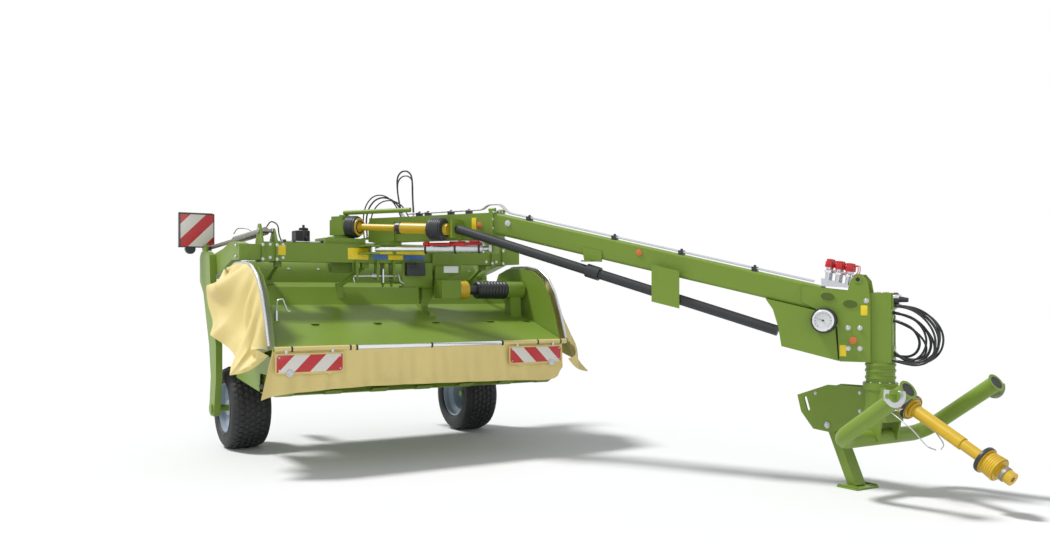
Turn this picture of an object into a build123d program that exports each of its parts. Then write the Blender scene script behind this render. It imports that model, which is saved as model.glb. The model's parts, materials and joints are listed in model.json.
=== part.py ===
"""Trailed disc mower with a swinging centre drawbar, parked on its wheels and its stand.

Machine frame: +Z up, the machine travels towards -Y, +X is its left side, millimetres.
The finished pieces are moved by ORIGIN so that the origin lies on the ground, below the
middle of the whole machine's outline.
"""
from build123d import *
from math import atan, atan2, cos, degrees, hypot, radians, sin
import os

os.makedirs("parts", exist_ok=True)

# ---------------------------------------------------------------- driving dimensions
ORIGIN = (552, -1700, 0)        # machine frame to part frame
CLEAR = 0.3                     # seat of a soft or curved face on its neighbour
RUN_CLEAR = 8.0                 # running gap beside a moving piece

# wheels
TRACK = 2480
WHEEL_Y = 760
TYRE_RADIUS = 395
TYRE_WIDTH = 385
RIM_RADIUS = 236
RIM_WALL = 9
RIM_WIDTH = 330
HUB_RADIUS = 75
AXLE_RADIUS = 32

# portal frame
BEAM_Y = 100
BEAM_DEPTH = 160
BEAM_LOW = 1792
BEAM_HEIGHT = 178
BEAM_HALF = 1262
LUG_HEIGHT = 2135
LEG_X = 1500
LEG_THICK = 60
ARCH_WIDTH = 90

# mower unit
GUARD_HALF = 1450               # half width of the hood and its rails
RAIL_Y = -900
RAIL_Z = 1035
RAIL_RADIUS = 17
SHEET = 6
DECK_HINGE_Y = -330
DECK_SLOPE = 17.7
CUTTER_Y = -560
CUTTER_Z = 650
DISC_COUNT = 7
DISC_PITCH = 430
DISC_RADIUS = 165
BLADE_TIP = 207
ROTOR_Y = 60
ROTOR_Z = 960
ROTOR_HALF = 930
ROTOR_TUBE = 95
ROTOR_TIP = 265
DOOR_PIVOT_X = 800

# drawbar
PIVOT_Y = 100
SWING = 29.5                    # degrees to the machine's left, as parked
NECK_REACH = 4600
BAR_WIDTH = 190
BAR_HEIGHT = 190
REAR_TOP = 2235
REAR_DEPTH = 235
KNUCKLE = 1250
HEAD_SETBACK = 420              # end of the main beam behind the neck
BAR_END = NECK_REACH - HEAD_SETBACK
BAR_FALL = 687.2                # how far the main beam's end lies below its start
PIVOT_RADIUS = 105
DRIVE_OFFSET = 215              # side offset of the driveline from the drawbar's middle
DRIVE_RADIUS = 42
DRIVE_START = 905              # bearing at the rear end of the driveline
DRIVE_START_Z = 2085
DRIVE_END = NECK_REACH - 750
DRIVE_END_Z = 1200

# hitch
NECK_RADIUS = 105
NECK_LOW = 800
HEAD_LOW = 980
YOKE_HALF = 500
YOKE_TUBE = 58
YOKE_LOW_Z = 415
YOKE_END_Z = 845
YOKE_REACH = 610
HOUSING_LOW = 540
STAND_Z = 460
STAND_Y = 430                   # stand hinge behind the neck
FOOT_Y = 210                    # foot behind the neck


def turned(x, y):
    """A point x ahead of the pivot and y to the left of the bar, in the machine frame."""
    a = radians(SWING)
    return (x * sin(a) + y * cos(a), PIVOT_Y - x * cos(a) + y * sin(a))


MACHINE = Plane.XY
swing = radians(SWING)
BAR_FRAME = Plane(origin=(0, PIVOT_Y, 0), x_dir=(sin(swing), -cos(swing), 0), z_dir=(0, 0, 1))
NECK_X, NECK_Y = turned(NECK_REACH, 0)


def put(name, part, frame=MACHINE):
    """Moves a piece from its own frame to the part frame, labels it and writes its file."""
    placed = part.moved(frame.location)
    placed = placed.moved(Location((-ORIGIN[0], -ORIGIN[1], -ORIGIN[2])))
    placed.label = name
    export_step(placed, f"parts/{name}.step")
    return placed


def plate_yz(points, low, thick):
    """A flat plate standing along the machine; points are (y, z), low is its lower x."""
    with BuildPart() as plate:
        with BuildSketch(Plane.YZ.offset(low)):
            with BuildLine():
                Polyline(*points, close=True)
            make_face()
        extrude(amount=thick)
    return plate.part


def plate_xz(points, low, thick):
    """A flat plate standing across the frame; points are (x, z), low is its lower y."""
    with BuildPart() as plate:
        with BuildSketch(Plane.XZ.offset(-low - thick)):
            with BuildLine():
                Polyline(*points, close=True)
            make_face()
        extrude(amount=thick)
    return plate.part


def block(x0, x1, y0, y1, z0, z1):
    """A plain block between two corners."""
    with BuildPart() as box:
        with Locations(((x0 + x1) / 2, (y0 + y1) / 2, (z0 + z1) / 2)):
            Box(abs(x1 - x0), abs(y1 - y0), abs(z1 - z0))
    return box.part


def rod(start, end, radius, inner=0):
    """A round bar or tube between two points."""
    line = Vector(*end) - Vector(*start)
    with BuildPart() as bar:
        with BuildSketch(Plane(origin=start, z_dir=line.normalized())):
            Circle(radius)
            if inner:
                Circle(inner, mode=Mode.SUBTRACT)
        extrude(amount=line.length)
    return bar.part


def bent_tube(points, radii, radius, inner=0):
    """A round tube along straight runs joined by tangent arcs."""
    with BuildPart() as tube:
        with BuildLine() as path:
            FilletPolyline(*points, radius=radii)
        with BuildSketch(path.line ^ 0):
            Circle(radius)
            if inner:
                Circle(inner, mode=Mode.SUBTRACT)
        sweep()
    return tube.part


def fused(*parts):
    """Joins touching pieces of one casting or weldment to one solid."""
    with BuildPart() as whole:
        for part in parts:
            add(part)
    return whole.part


# ---------------------------------------------------------------- wheels
def tyre():
    """Wide low tyre about the x axis, with rounded shoulders."""
    half = TYRE_WIDTH / 2
    seat = RIM_RADIUS
    wall = TYRE_RADIUS - RIM_RADIUS
    flank = seat + wall * 60 / 159
    shoulder = wall * 50 / 159
    crown = TYRE_RADIUS - wall * 12 / 159
    with BuildPart() as body:
        with BuildSketch(Plane.XY) as section:
            with BuildLine():
                Polyline((-half + 38, seat), (-half, flank), (-half, crown - shoulder))
                CenterArc((-half + shoulder, crown - shoulder), shoulder, 90, 90)
                Line((-half + shoulder, crown), (-half + 90, TYRE_RADIUS))
                Line((-half + 90, TYRE_RADIUS), (half - 90, TYRE_RADIUS))
                Line((half - 90, TYRE_RADIUS), (half - shoulder, crown))
                CenterArc((half - shoulder, crown - shoulder), shoulder, 0, 90)
                Polyline((half, crown - shoulder), (half, flank), (half - 38, seat))
                Polyline((half - 38, seat), (half - 60, seat + 25), (-half + 60, seat + 25), (-half + 38, seat))
            make_face()
        revolve(axis=Axis.X)
    return body.part


def rim(side):
    """Drop-centre rim with its dish and hub; side is +1 where the outer face looks to +x."""
    half = RIM_WIDTH / 2
    bead = RIM_RADIUS - CLEAR
    well = RIM_RADIUS - 45
    dish = side * 40
    with BuildPart() as body:
        with BuildSketch(Plane.XY):
            with BuildLine():
                Polyline(
                    (-half, bead), (-half + 50, bead), (-70, well), (70, well), (half - 50, bead), (half, bead),
                    (half, bead - RIM_WALL), (half - 54, bead - RIM_WALL), (74, well - RIM_WALL),
                    (-74, well - RIM_WALL), (-half + 54, bead - RIM_WALL), (-half, bead - RIM_WALL), close=True,
                )
            make_face()
        revolve(axis=Axis.X)
        with BuildSketch(Plane.YZ.offset(dish - 6)):
            Circle(well - RIM_WALL / 2)
            Circle(AXLE_RADIUS + CLEAR, mode=Mode.SUBTRACT)
        extrude(amount=12)
        with BuildSketch(Plane.YZ.offset(dish if side > 0 else dish - 95)):
            Circle(HUB_RADIUS)
            Circle(AXLE_RADIUS + CLEAR, mode=Mode.SUBTRACT)
        extrude(amount=95)
    return body.part


for side, word in ((-1, "right"), (1, "left")):
    wheel = Plane(origin=(side * TRACK / 2, WHEEL_Y, TYRE_RADIUS))
    put(f"tyre_{word}", tyre(), wheel)
    put(f"rim_{word}", rim(side), wheel)

# ---------------------------------------------------------------- portal frame and wheel legs
beam_top = BEAM_LOW + BEAM_HEIGHT
beam_front = BEAM_Y - BEAM_DEPTH / 2
beam_back = BEAM_Y + BEAM_DEPTH / 2
tower_top = REAR_TOP - REAR_DEPTH - CLEAR
frame_parts = [block(-BEAM_HALF, BEAM_HALF, beam_front, beam_back, BEAM_LOW, beam_top)]
# two lug plates at each end of the beam, the inner one lower
for side in (-1, 1):
    for reach, top in ((BEAM_HALF, LUG_HEIGHT), (BEAM_HALF - 130, LUG_HEIGHT - 40)):
        x = side * reach - 8
        frame_parts.append(
            plate_yz(
                (
                    (beam_front - 22, BEAM_LOW - 8), (beam_front - 22, beam_top + 10), (BEAM_Y - 38, top - 20),
                    (BEAM_Y - 20, top), (BEAM_Y + 30, top), (BEAM_Y + 55, top - 40), (beam_back + 30, beam_top),
                    (beam_back + 30, BEAM_LOW - 8),
                ),
                x, 16,
            )
        )
    # arch from the beam's end back and out to the wheel leg
    arch_low = min(side * (LEG_X - LEG_THICK / 2), side * (LEG_X - LEG_THICK / 2 - ARCH_WIDTH))
    frame_parts.append(
        plate_yz(
            (
                (beam_front, BEAM_LOW + 10), (beam_front, beam_top - 25), (BEAM_Y + 60, beam_top),
                (BEAM_Y + 240, beam_top), (BEAM_Y + 480, beam_top - 50), (BEAM_Y + 1080, beam_top - 120),
                (BEAM_Y + 1080, beam_top - 330), (BEAM_Y + 900, beam_top - 330), (BEAM_Y + 420, beam_top - 225),
                (BEAM_Y + 180, BEAM_LOW + 10),
            ),
            arch_low, ARCH_WIDTH,
        )
    )
    inner = side * (LEG_X - LEG_THICK / 2 - ARCH_WIDTH)
    end_block = block(side * (BEAM_HALF - 10), inner, beam_front, beam_back, BEAM_LOW + 10, beam_top - 25)
    frame_parts.append(end_block)
# pivot tower under the drawbar
with BuildPart() as tower:
    with BuildSketch(Plane.XY.offset(beam_top - 1)):
        with Locations((0, PIVOT_Y)):
            Circle(PIVOT_RADIUS + 35)
    extrude(amount=tower_top - beam_top + 1)
frame_parts.append(tower.part)
# pedestal behind the beam's top for the swivelling gearbox
GEAR_X = -420
GEAR_Y = 260
PEDESTAL_TOP = 2050
frame_parts.append(block(GEAR_X - 230, GEAR_X + 175, BEAM_Y - 40, GEAR_Y + 90, beam_top - 1, PEDESTAL_TOP - 24))
frame_parts.append(block(GEAR_X - 105, GEAR_X + 105, GEAR_Y - 100, GEAR_Y + 90, PEDESTAL_TOP - 25, PEDESTAL_TOP))
frame_parts.append(block(GEAR_X - 230, GEAR_X + 175, beam_back - 1, GEAR_Y + 90, BEAM_LOW + 60, beam_top))
# clevis of the swing cylinder on the beam's front face
SWING_EYE = (-250, -150)
for low in (REAR_TOP - REAR_DEPTH - 130, REAR_TOP - REAR_DEPTH - 58):
    lug = block(SWING_EYE[0] - 90, SWING_EYE[0] + 45, SWING_EYE[1] - 45, beam_front + 1, low, low + 14)
    frame_parts.append(lug)
put("portal_frame", fused(*frame_parts))

for side, word in ((-1, "right"), (1, "left")):
    low = side * LEG_X - LEG_THICK / 2
    outline = (
        (1180, beam_top - 60), (1240, beam_top - 115), (1235, 1620), (1090, 1500), (865, 1000), (800, 700),
        (WHEEL_Y + 90, TYRE_RADIUS + 30), (WHEEL_Y + 60, TYRE_RADIUS - 70), (WHEEL_Y - 60, TYRE_RADIUS - 70),
        (WHEEL_Y - 100, TYRE_RADIUS + 30), (600, 700), (600, 1000), (800, 1500), (850, beam_top - 100),
        (1000, beam_top - 60),
    )
    leg = plate_yz(outline, low, LEG_THICK)
    inner = side * (LEG_X - LEG_THICK / 2)
    axle_end = side * (TRACK / 2 - 80)
    axle = rod((inner + side * 2, WHEEL_Y, TYRE_RADIUS), (axle_end, WHEEL_Y, TYRE_RADIUS), AXLE_RADIUS)
    cap = rod((side * LEG_X, WHEEL_Y, TYRE_RADIUS), (side * (LEG_X + 45), WHEEL_Y, TYRE_RADIUS), 48)
    ear = block(side * (LEG_X - 12), side * (LEG_X + 12), 1060, 1180, beam_top - 80, beam_top + 10)
    put(f"wheel_leg_{word}", fused(leg, axle, cap, ear))

# lift cylinders from the lugs back to the ears of the wheel legs
for side, word in ((-1, "right"), (1, "left")):
    base = Vector(side * (BEAM_HALF - 65), BEAM_Y + 5, LUG_HEIGHT - 62)
    eye = Vector(side * (LEG_X - 12 - 22), 1130, beam_top - 22)
    way = (eye - base).normalized()
    barrel = rod(base + way * 15, base + way * 560, 38)
    stroke = rod(base + way * 559, eye - way * 10, 20)
    pin = rod((side * (BEAM_HALF - 122), base.Y, base.Z), (side * (BEAM_HALF - 8), base.Y, base.Z), 18)
    end = rod((side * (LEG_X - 12), eye.Y, eye.Z), (side * (LEG_X - 56), eye.Y, eye.Z), 28)
    put(f"lift_cylinder_{word}", fused(barrel, stroke, pin, end))

# ---------------------------------------------------------------- mower unit
deck_rise = (DECK_HINGE_Y - RAIL_Y) * sin(radians(DECK_SLOPE)) / cos(radians(DECK_SLOPE))
HINGE_Z = RAIL_Z + deck_rise
deck_half = GUARD_HALF - 55


def sheet_profile(points, thick):
    """The closed outline of a folded sheet: its upper side and the same line one thickness down."""
    return tuple(points) + tuple((y, z - thick) for y, z in reversed(points))


# hood behind the folding flap: (y, z) of its upper side
hood_line = (
    (DECK_HINGE_Y + 14, HINGE_Z + 6), (190, 1390), (330, 1560), (560, 1640), (800, 1600), (980, 1400), (1010, 1180),
)
hood = plate_yz(sheet_profile(hood_line, SHEET), -deck_half, 2 * deck_half)
end_line = hood_line + ((1010, 1000), (860, 760), (-200, 760), (DECK_HINGE_Y + 14, 1000))
ends = [plate_yz(end_line, side * (ROTOR_HALF + 45) - 4, 8) for side in (-1, 1)]
HOUSING_BACK = 1010
cross = block(-ROTOR_HALF - 45, ROTOR_HALF + 45, HOUSING_BACK - 60, HOUSING_BACK, 1120, 1180)
hanger = []
for side in (-1, 1):
    x = side * DOOR_PIVOT_X
    hanger.append(block(x - 40, x + 40, HOUSING_BACK - 10, HOUSING_BACK + 90, 1153, 1168))
front_tube = block(-ROTOR_HALF - 45, ROTOR_HALF + 45, DECK_HINGE_Y + 20, DECK_HINGE_Y + 80, 1110, 1170)
hinge_seats = []
for x in (-900, 0, 900):
    seat_front = DECK_HINGE_Y + 10 + CLEAR
    hinge_seats.append(block(x - 60, x + 60, seat_front, DECK_HINGE_Y + 24, HINGE_Z - 12, HINGE_Z + 4))
put("hood", fused(hood, *ends, cross, front_tube, *hanger, *hinge_seats))

# side panels: (y, z) of the inner green plates, an arc like the guard tube's outside it
arc_line = (
    (-860, 1060), (-770, 1290), (-665, 1500), (-540, 1650), (-370, 1740), (-150, 1770), (150, 1770), (330, 1720),
)
panel_x = GUARD_HALF - 40
for side, word in ((-1, "right"), (1, "left")):
    outline = tuple((y + 14, z - 16) for y, z in arc_line) + ((440, 1560), (440, 1000), (DECK_HINGE_Y, 960))
    panel = plate_yz(outline, side * panel_x - 3, 6)
    rib = block(side * deck_half, side * (panel_x - 2), 0, 40, 1180, 1290)
    rib_back = block(side * deck_half, side * (panel_x - 2), 380, 420, 1500, 1560)
    lugs = [block(side * (panel_x + 2), side * (GUARD_HALF + 4), y - 12, y + 12, 1712, 1748) for y in (-120, 130)]
    brace = block(side * (ROTOR_HALF + 49), side * (panel_x - 2), 300, 350, 1010, 1060)
    skirt = plate_yz(
        ((DECK_HINGE_Y, 1000), (430, 1030), (430, CUTTER_Z + 60), (-300, CUTTER_Z - 10), (-325, CUTTER_Z + 150),
         (-790, CUTTER_Z + 150), (-780, 930)),
        side * (panel_x - 30) - 3, 6,
    )
    link = block(side * (panel_x - 34), side * (panel_x - 2), -60, 120, 985, 1025)
    put(f"side_panel_{word}", fused(panel, rib, rib_back, brace, skirt, link, *lugs))

# folding front flap with the rail that the front curtain hangs from
flap_line = ((RAIL_Y - 4, RAIL_Z + 12), (DECK_HINGE_Y - 4, HINGE_Z + 10))
flap = plate_yz(sheet_profile(flap_line, SHEET), -deck_half, 2 * deck_half)
rail = rod((-GUARD_HALF, RAIL_Y, RAIL_Z), (GUARD_HALF, RAIL_Y, RAIL_Z), RAIL_RADIUS)
hems = [
    rod((side * 720, RAIL_Y, RAIL_Z), (side * (GUARD_HALF - 8), RAIL_Y, RAIL_Z), RAIL_RADIUS + 5)
    for side in (-1, 1)
]
ribs = [
    plate_yz(
        ((RAIL_Y + 10, RAIL_Z - 4), (RAIL_Y + 10, RAIL_Z + 12), (DECK_HINGE_Y - 10, HINGE_Z + 5),
         (DECK_HINGE_Y - 10, HINGE_Z - 45), (RAIL_Y + 250, RAIL_Z + 35)),
        x - 4, 8,
    )
    for x in (-1150, -400, 400, 1150)
]
knuckles = [rod((x - 60, DECK_HINGE_Y, HINGE_Z), (x + 60, DECK_HINGE_Y, HINGE_Z), 10) for x in (-900, 0, 900)]
put("front_flap", fused(flap, rail, *hems, *ribs, *knuckles))

CURTAIN_THICK = 12
CURTAIN_DROP = 345
curtain_top = RAIL_Z - RAIL_RADIUS - 5 - CLEAR
put(
    "front_curtain",
    block(-GUARD_HALF - 20, GUARD_HALF - 60, RAIL_Y - CURTAIN_THICK / 2, RAIL_Y + CURTAIN_THICK / 2,
          RAIL_Z - CURTAIN_DROP, curtain_top),
)

# folding side guards: the bent tube and the curtain that hangs from it
TUBE = 14
for side, word in ((-1, "right"), (1, "left")):
    x = side * (GUARD_HALF + 20)
    points = [(x, y, z) for y, z in arc_line]
    radii = [150] + [260] * (len(points) - 4) + [150]
    tube = bent_tube(points, radii, TUBE)
    pads = [
        block(side * (GUARD_HALF + 4 + CLEAR), side * (GUARD_HALF + 30), y - 14, y + 14, 1742, 1772)
        for y in (-120, 130)
    ]
    put(f"side_guard_{word}", fused(tube, *pads))
    inner = GUARD_HALF + 20 + TUBE + CLEAR
    fall = (
        (side * inner, 1756), (side * (inner + 12), 1756), (side * (inner + 20), 1700),
        (side * (GUARD_HALF + 200), 1320), (side * (GUARD_HALF + 350), 900), (side * (GUARD_HALF + 330), 900),
        (side * (GUARD_HALF + 180), 1320), (side * inner, 1700),
    )
    put(f"side_curtain_{word}", plate_xz(fall, -800, 1060))

# cutterbar: the beam, its skids and the crop drum at each end
discs = [(i - (DISC_COUNT - 1) / 2) * DISC_PITCH for i in range(DISC_COUNT)]
bar_half = discs[-1] + 60
beam = plate_yz(
    ((CUTTER_Y - 150, CUTTER_Z - 12), (CUTTER_Y - 120, CUTTER_Z + 30), (CUTTER_Y + 150, CUTTER_Z + 36),
     (CUTTER_Y + 170, CUTTER_Z + 10), (CUTTER_Y + 120, CUTTER_Z - 24), (CUTTER_Y - 110, CUTTER_Z - 24)),
    -bar_half, 2 * bar_half,
)
skids = []
for x in discs:
    skids.append(
        plate_yz(
            ((CUTTER_Y - 205, CUTTER_Z + 10), (CUTTER_Y - 200, CUTTER_Z + 16), (CUTTER_Y - 120, CUTTER_Z - 18),
             (CUTTER_Y + 280, CUTTER_Z - 18), (CUTTER_Y + 280, CUTTER_Z - 26), (CUTTER_Y - 130, CUTTER_Z - 26)),
            x - 75, 150,
        )
    )
    with BuildPart() as seat:
        with BuildSketch(Plane.XY.offset(CUTTER_Z + 30)):
            with Locations((x, CUTTER_Y)):
                Circle(70)
        extrude(amount=20)
    skids.append(seat.part)
skirt_x = panel_x - 30
for side in (-1, 1):
    skids.append(block(side * (discs[-1] - 60), side * (skirt_x - 3), -300, -230, CUTTER_Z + 10, CUTTER_Z + 30))
    skids.append(rod((side * (discs[-1] - 10), -270, CUTTER_Z + 20), (side * (discs[-1] - 10), -270, 1000), 62))
    skids.append(block(side * (discs[-1] - 60), side * (discs[-1] + 40),
                       CUTTER_Y + 100, -230, CUTTER_Z + 10, CUTTER_Z + 30))
put("cutterbar", fused(beam, *skids))

for number, x in enumerate(discs, start=1):
    turn = 90 * (number % 2)
    with BuildPart() as disc:
        with BuildSketch(Plane.XY.offset(CUTTER_Z + 50 + CLEAR)) as base:
            Circle(DISC_RADIUS)
        extrude(amount=14)
        with BuildSketch(Plane.XY.offset(CUTTER_Z + 64)):
            Circle(110)
        extrude(amount=40, taper=35)
        with BuildSketch(Plane.XY.offset(CUTTER_Z + 54)):
            with PolarLocations(0, 2, start_angle=turn):
                with Locations((BLADE_TIP - 55, 0)):
                    Rectangle(110, 46)
        extrude(amount=5)
    put(f"cutter_disc_{number}", disc.part, Plane(origin=(x, CUTTER_Y, 0)))

# conditioner rotor with its rows of tines
TINE_ROWS = 8
TINES = 18
with BuildPart() as rotor:
    with BuildSketch(Plane.YZ.offset(-ROTOR_HALF)):
        Circle(ROTOR_TUBE)
    extrude(amount=2 * ROTOR_HALF)
    with BuildSketch(Plane.YZ.offset(-ROTOR_HALF - 41 + CLEAR)):
        Circle(32)
    extrude(amount=2 * (ROTOR_HALF + 41 - CLEAR))
    tine_pitch = 2 * ROTOR_HALF / TINES
    for row in range(TINE_ROWS):
        stagger = 0.5 * (row % 2) + 0.25
        places = [((i + stagger) * tine_pitch - ROTOR_HALF, 0, 0) for i in range(TINES)]
        with Locations(Location((0, 0, 0), (1, 0, 0), 360 / TINE_ROWS * row)):
            with Locations(places):
                with Locations((0, 0, (ROTOR_TIP + ROTOR_TUBE) / 2 - 10)):
                    Box(10, 30, ROTOR_TIP - ROTOR_TUBE + 20)
put("conditioner_rotor", rotor.part, Plane(origin=(0, ROTOR_Y, ROTOR_Z)))

# swath doors behind the hood
for side, word in ((-1, "right"), (1, "left")):
    pivot_x = side * DOOR_PIVOT_X
    door = block(pivot_x - 4 * side, pivot_x + 4 * side, HOUSING_BACK + 40, HOUSING_BACK + 560, 760, 1120)
    pin = rod((pivot_x, HOUSING_BACK + 60, 750), (pivot_x, HOUSING_BACK + 60, 1153 - CLEAR), 14)
    put(f"swath_door_{word}", fused(door, pin))

# links, hangers and springs that carry the mower unit under the portal frame

def hood_at(y):
    """Height of the hood's upper side."""
    for (y0, z0), (y1, z1) in zip(hood_line, hood_line[1:]):
        if y0 <= y <= y1:
            return z0 + (y - y0) * (z1 - z0) / (y1 - y0)


strut = rod((-235, BEAM_Y, BEAM_LOW - 30), (-430, 270, 1570), 20)
strut_head = block(-275, -205, BEAM_Y - 30, BEAM_Y + 30, BEAM_LOW - 50, BEAM_LOW)
foot_line = ((240, hood_at(240) + 1), (320, hood_at(320) + 1), (305, 1600), (255, 1600))
strut_foot = plate_yz(foot_line, -460, 60)
hangers = []
for x in (-60, 30, 200, 290):
    hangers.append(
        plate_yz(((40, BEAM_LOW), (150, BEAM_LOW), (130, 1640), (95, 1560), (70, 1560), (50, 1640)), x, 12)
    )
hangers.append(rod((-70, 90, 1605), (320, 90, 1605), 12))
wedge = plate_xz(
    ((330, BEAM_LOW), (780, BEAM_LOW), (780, 1690), (600, 1650),
     (420, 1420), (395, 1350), (330, 1350), (345, 1440)),
    24, 14,
)
wedge_rear = plate_xz(
    ((330, BEAM_LOW), (780, BEAM_LOW), (780, 1690), (600, 1650),
     (420, 1430), (380, 1380), (340, 1380), (345, 1440)),
    110, 14,
)
wedge_foot = plate_yz(
    ((-170, hood_at(-170) + CLEAR), (124, hood_at(124) + CLEAR),
     (124, hood_at(124) + 30), (-170, hood_at(-170) + 40)),
    330, 65,
)
links = []
for side in (-1, 1):
    x = side * 1085
    top_pad = block(x - 30, x + 30, 110, 170, BEAM_LOW - 50, BEAM_LOW)
    bar = rod((x, 140, BEAM_LOW - 30), (x, 430, 1625), 18)
    low_pad = plate_yz(
        ((395, hood_at(395) + CLEAR), (470, hood_at(470) + CLEAR), (470, 1645), (395, 1645)), x - 35, 70,
    )
    links.append(fused(top_pad, bar, low_pad))
strut_arm = fused(strut, strut_head, strut_foot)
wedge_arm = fused(wedge, wedge_rear, wedge_foot)
put("suspension", fused(strut_arm, fused(*hangers), wedge_arm, *links))

# drive to the cutterbar: centre gearbox, guarded cross shaft and angle gearbox at the left
DRIVE_Y = -150
DRIVE_Z = 1532
gear_case = block(430, 640, DRIVE_Y - 85, DRIVE_Y + 85, DRIVE_Z - 80, DRIVE_Z + 95)
gear_neck = block(455, 615, DRIVE_Y + 60, beam_front, DRIVE_Z + 20, DRIVE_Z + 90)
gear_arm = block(455, 615, beam_front - 60, beam_front, DRIVE_Z + 20, BEAM_LOW - 20)
gear_foot = block(440, 630, beam_front - 30, beam_front, BEAM_LOW - 60, beam_top - 30)
put("centre_gearbox", fused(gear_case, gear_neck, gear_arm, gear_foot))
angle_gear_x = GUARD_HALF - 260
bellows_x = angle_gear_x - 310
cone = rod((640, DRIVE_Y, DRIVE_Z), (bellows_x, DRIVE_Y, DRIVE_Z), 46)
bellows = rod((bellows_x, DRIVE_Y, DRIVE_Z), (angle_gear_x, DRIVE_Y, DRIVE_Z), 82)
put("cross_shaft_guard", fused(cone, bellows))
flange = rod((angle_gear_x, DRIVE_Y, DRIVE_Z), (angle_gear_x + 195, DRIVE_Y, DRIVE_Z), 88)

foot = plate_yz(
    ((DRIVE_Y - 65, hood_at(DRIVE_Y - 65)), (DRIVE_Y + 65, hood_at(DRIVE_Y + 65)), (DRIVE_Y + 50, DRIVE_Z - 40),
     (DRIVE_Y - 50, DRIVE_Z - 40)),
    angle_gear_x + 40, 120,
)
put("angle_gearbox", fused(flange, foot))

# rear warning boards with lamps, on posts from the wheel legs' ears
BOARD = 330
BOARD_Y = 1262
board_parts = []
for side in (-1, 1):
    board_x = side * 1565
    low = beam_top + 5
    post_x = side * (LEG_X - 12)
    board_parts.append(block(post_x - 15, post_x + 15, BOARD_Y - 22, BOARD_Y - 7, beam_top - 50, low + 150))
    board_parts.append(block(post_x - 15, post_x + 15, 1180, BOARD_Y - 7, beam_top - 50, beam_top - 30))
    board_parts.append(block(board_x - BOARD / 2, board_x + BOARD / 2, BOARD_Y - 7, BOARD_Y, low, low + BOARD))
    lamp_x = board_x + side * 60
    board_parts.append(rod((lamp_x, BOARD_Y - 7, low - 20), (lamp_x, BOARD_Y - 50, low - 20), 48))
    board_parts.append(block(lamp_x - side * 40, lamp_x + side * 40, BOARD_Y - 20, BOARD_Y - 4, low - 30, low + 10))
boards = [fused(*board_parts[:5]), fused(*board_parts[5:])]
put("warning_boards", fused(*boards))

# hydraulic valves behind the beam
valve_low = block(-910, -740, beam_back, beam_back + 150, BEAM_LOW + 10, BEAM_LOW + 130)
valve_top = block(-890, -770, beam_back + 20, beam_back + 140, BEAM_LOW + 129, BEAM_LOW + 300)
put("valve_block", fused(valve_low, valve_top))
put("main_gearbox", block(GEAR_X - 110, GEAR_X + 110, beam_back + 50, GEAR_Y + 100, BEAM_LOW - 90, BEAM_LOW + 60))

# swivelling gearbox on the rear beam, its steering rod and the guarded shafts to the drawbar
GEAR_Z = 2150
gear_low = PEDESTAL_TOP + CLEAR
bearing = turned(DRIVE_START, -DRIVE_OFFSET)
shaft_way = Vector(bearing[0] - GEAR_X, bearing[1] - GEAR_Y, DRIVE_START_Z - GEAR_Z)
shaft_length = shaft_way.length
GEAR_FRAME = Plane(origin=(GEAR_X, GEAR_Y, 0), x_dir=Vector(shaft_way.X, shaft_way.Y, 0), z_dir=(0, 0, 1))
side_way = Vector(0, 0, 1).cross(Vector(shaft_way.X, shaft_way.Y, 0))
SHAFT_FRAME = Plane(origin=(GEAR_X, GEAR_Y, GEAR_Z), x_dir=shaft_way, z_dir=shaft_way.cross(side_way))
case = block(-80, 95, -72, 72, gear_low + 12, gear_low + 160)
swivel = rod((0, 0, gear_low), (0, 0, gear_low + 13), 70)
lid = block(-70, 60, -60, 60, gear_low + 159, gear_low + 195)
arm = block(-35, 35, 20, 90, gear_low + 194, gear_low + 215)
put("swivel_gearbox", fused(swivel, case, lid, arm), GEAR_FRAME)
SHAFT_STROKE = 405              # how far the telescoping shaft closes over the whole swing
SHAFT_GAP = 45                  # free end before the driveline's bearing
cone_rear = rod((104, 0, 0), (225, 0, 0), 85)
INNER_RADIUS = 33
inner_tube = rod((220, 0, 0), (shaft_length - SHAFT_STROKE - SHAFT_GAP - 10, 0, 0), INNER_RADIUS)
put("drive_shaft_rear", fused(cone_rear, inner_tube, rod((97.5, 0, 0), (105, 0, 0), 40)), SHAFT_FRAME)
ROD_Z = gear_low + 215 + CLEAR + 22
put("steering_rod", rod((0, 55, ROD_Z), (760, 55, ROD_Z), 22), GEAR_FRAME)
shaft_end = shaft_length - SHAFT_GAP
outer_tube = rod((240 + SHAFT_STROKE, 0, 0), (shaft_end - 10, 0, 0), 52, INNER_RADIUS + 0.5)
cone_front = rod((shaft_end - 190, 0, 0), (shaft_end - 40, 0, 0), 86, 42)
end_cap = rod((shaft_end - 10, 0, 0), (shaft_end, 0, 0), 52)
put("drive_shaft_front", fused(outer_tube, cone_front, end_cap), SHAFT_FRAME)

# ---------------------------------------------------------------- drawbar, in its own frame
rear_low = REAR_TOP - REAR_DEPTH
half = BAR_WIDTH / 2
slope = atan(BAR_FALL / (BAR_END - KNUCKLE))


def bar_top(x):
    """Height of the main beam's upper side."""
    return REAR_TOP + 5 - (x - KNUCKLE) * sin(slope) / cos(slope)


def bar_bottom(x):
    """Height of the main beam's lower side."""
    return bar_top(x) - BAR_HEIGHT / cos(slope)


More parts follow.
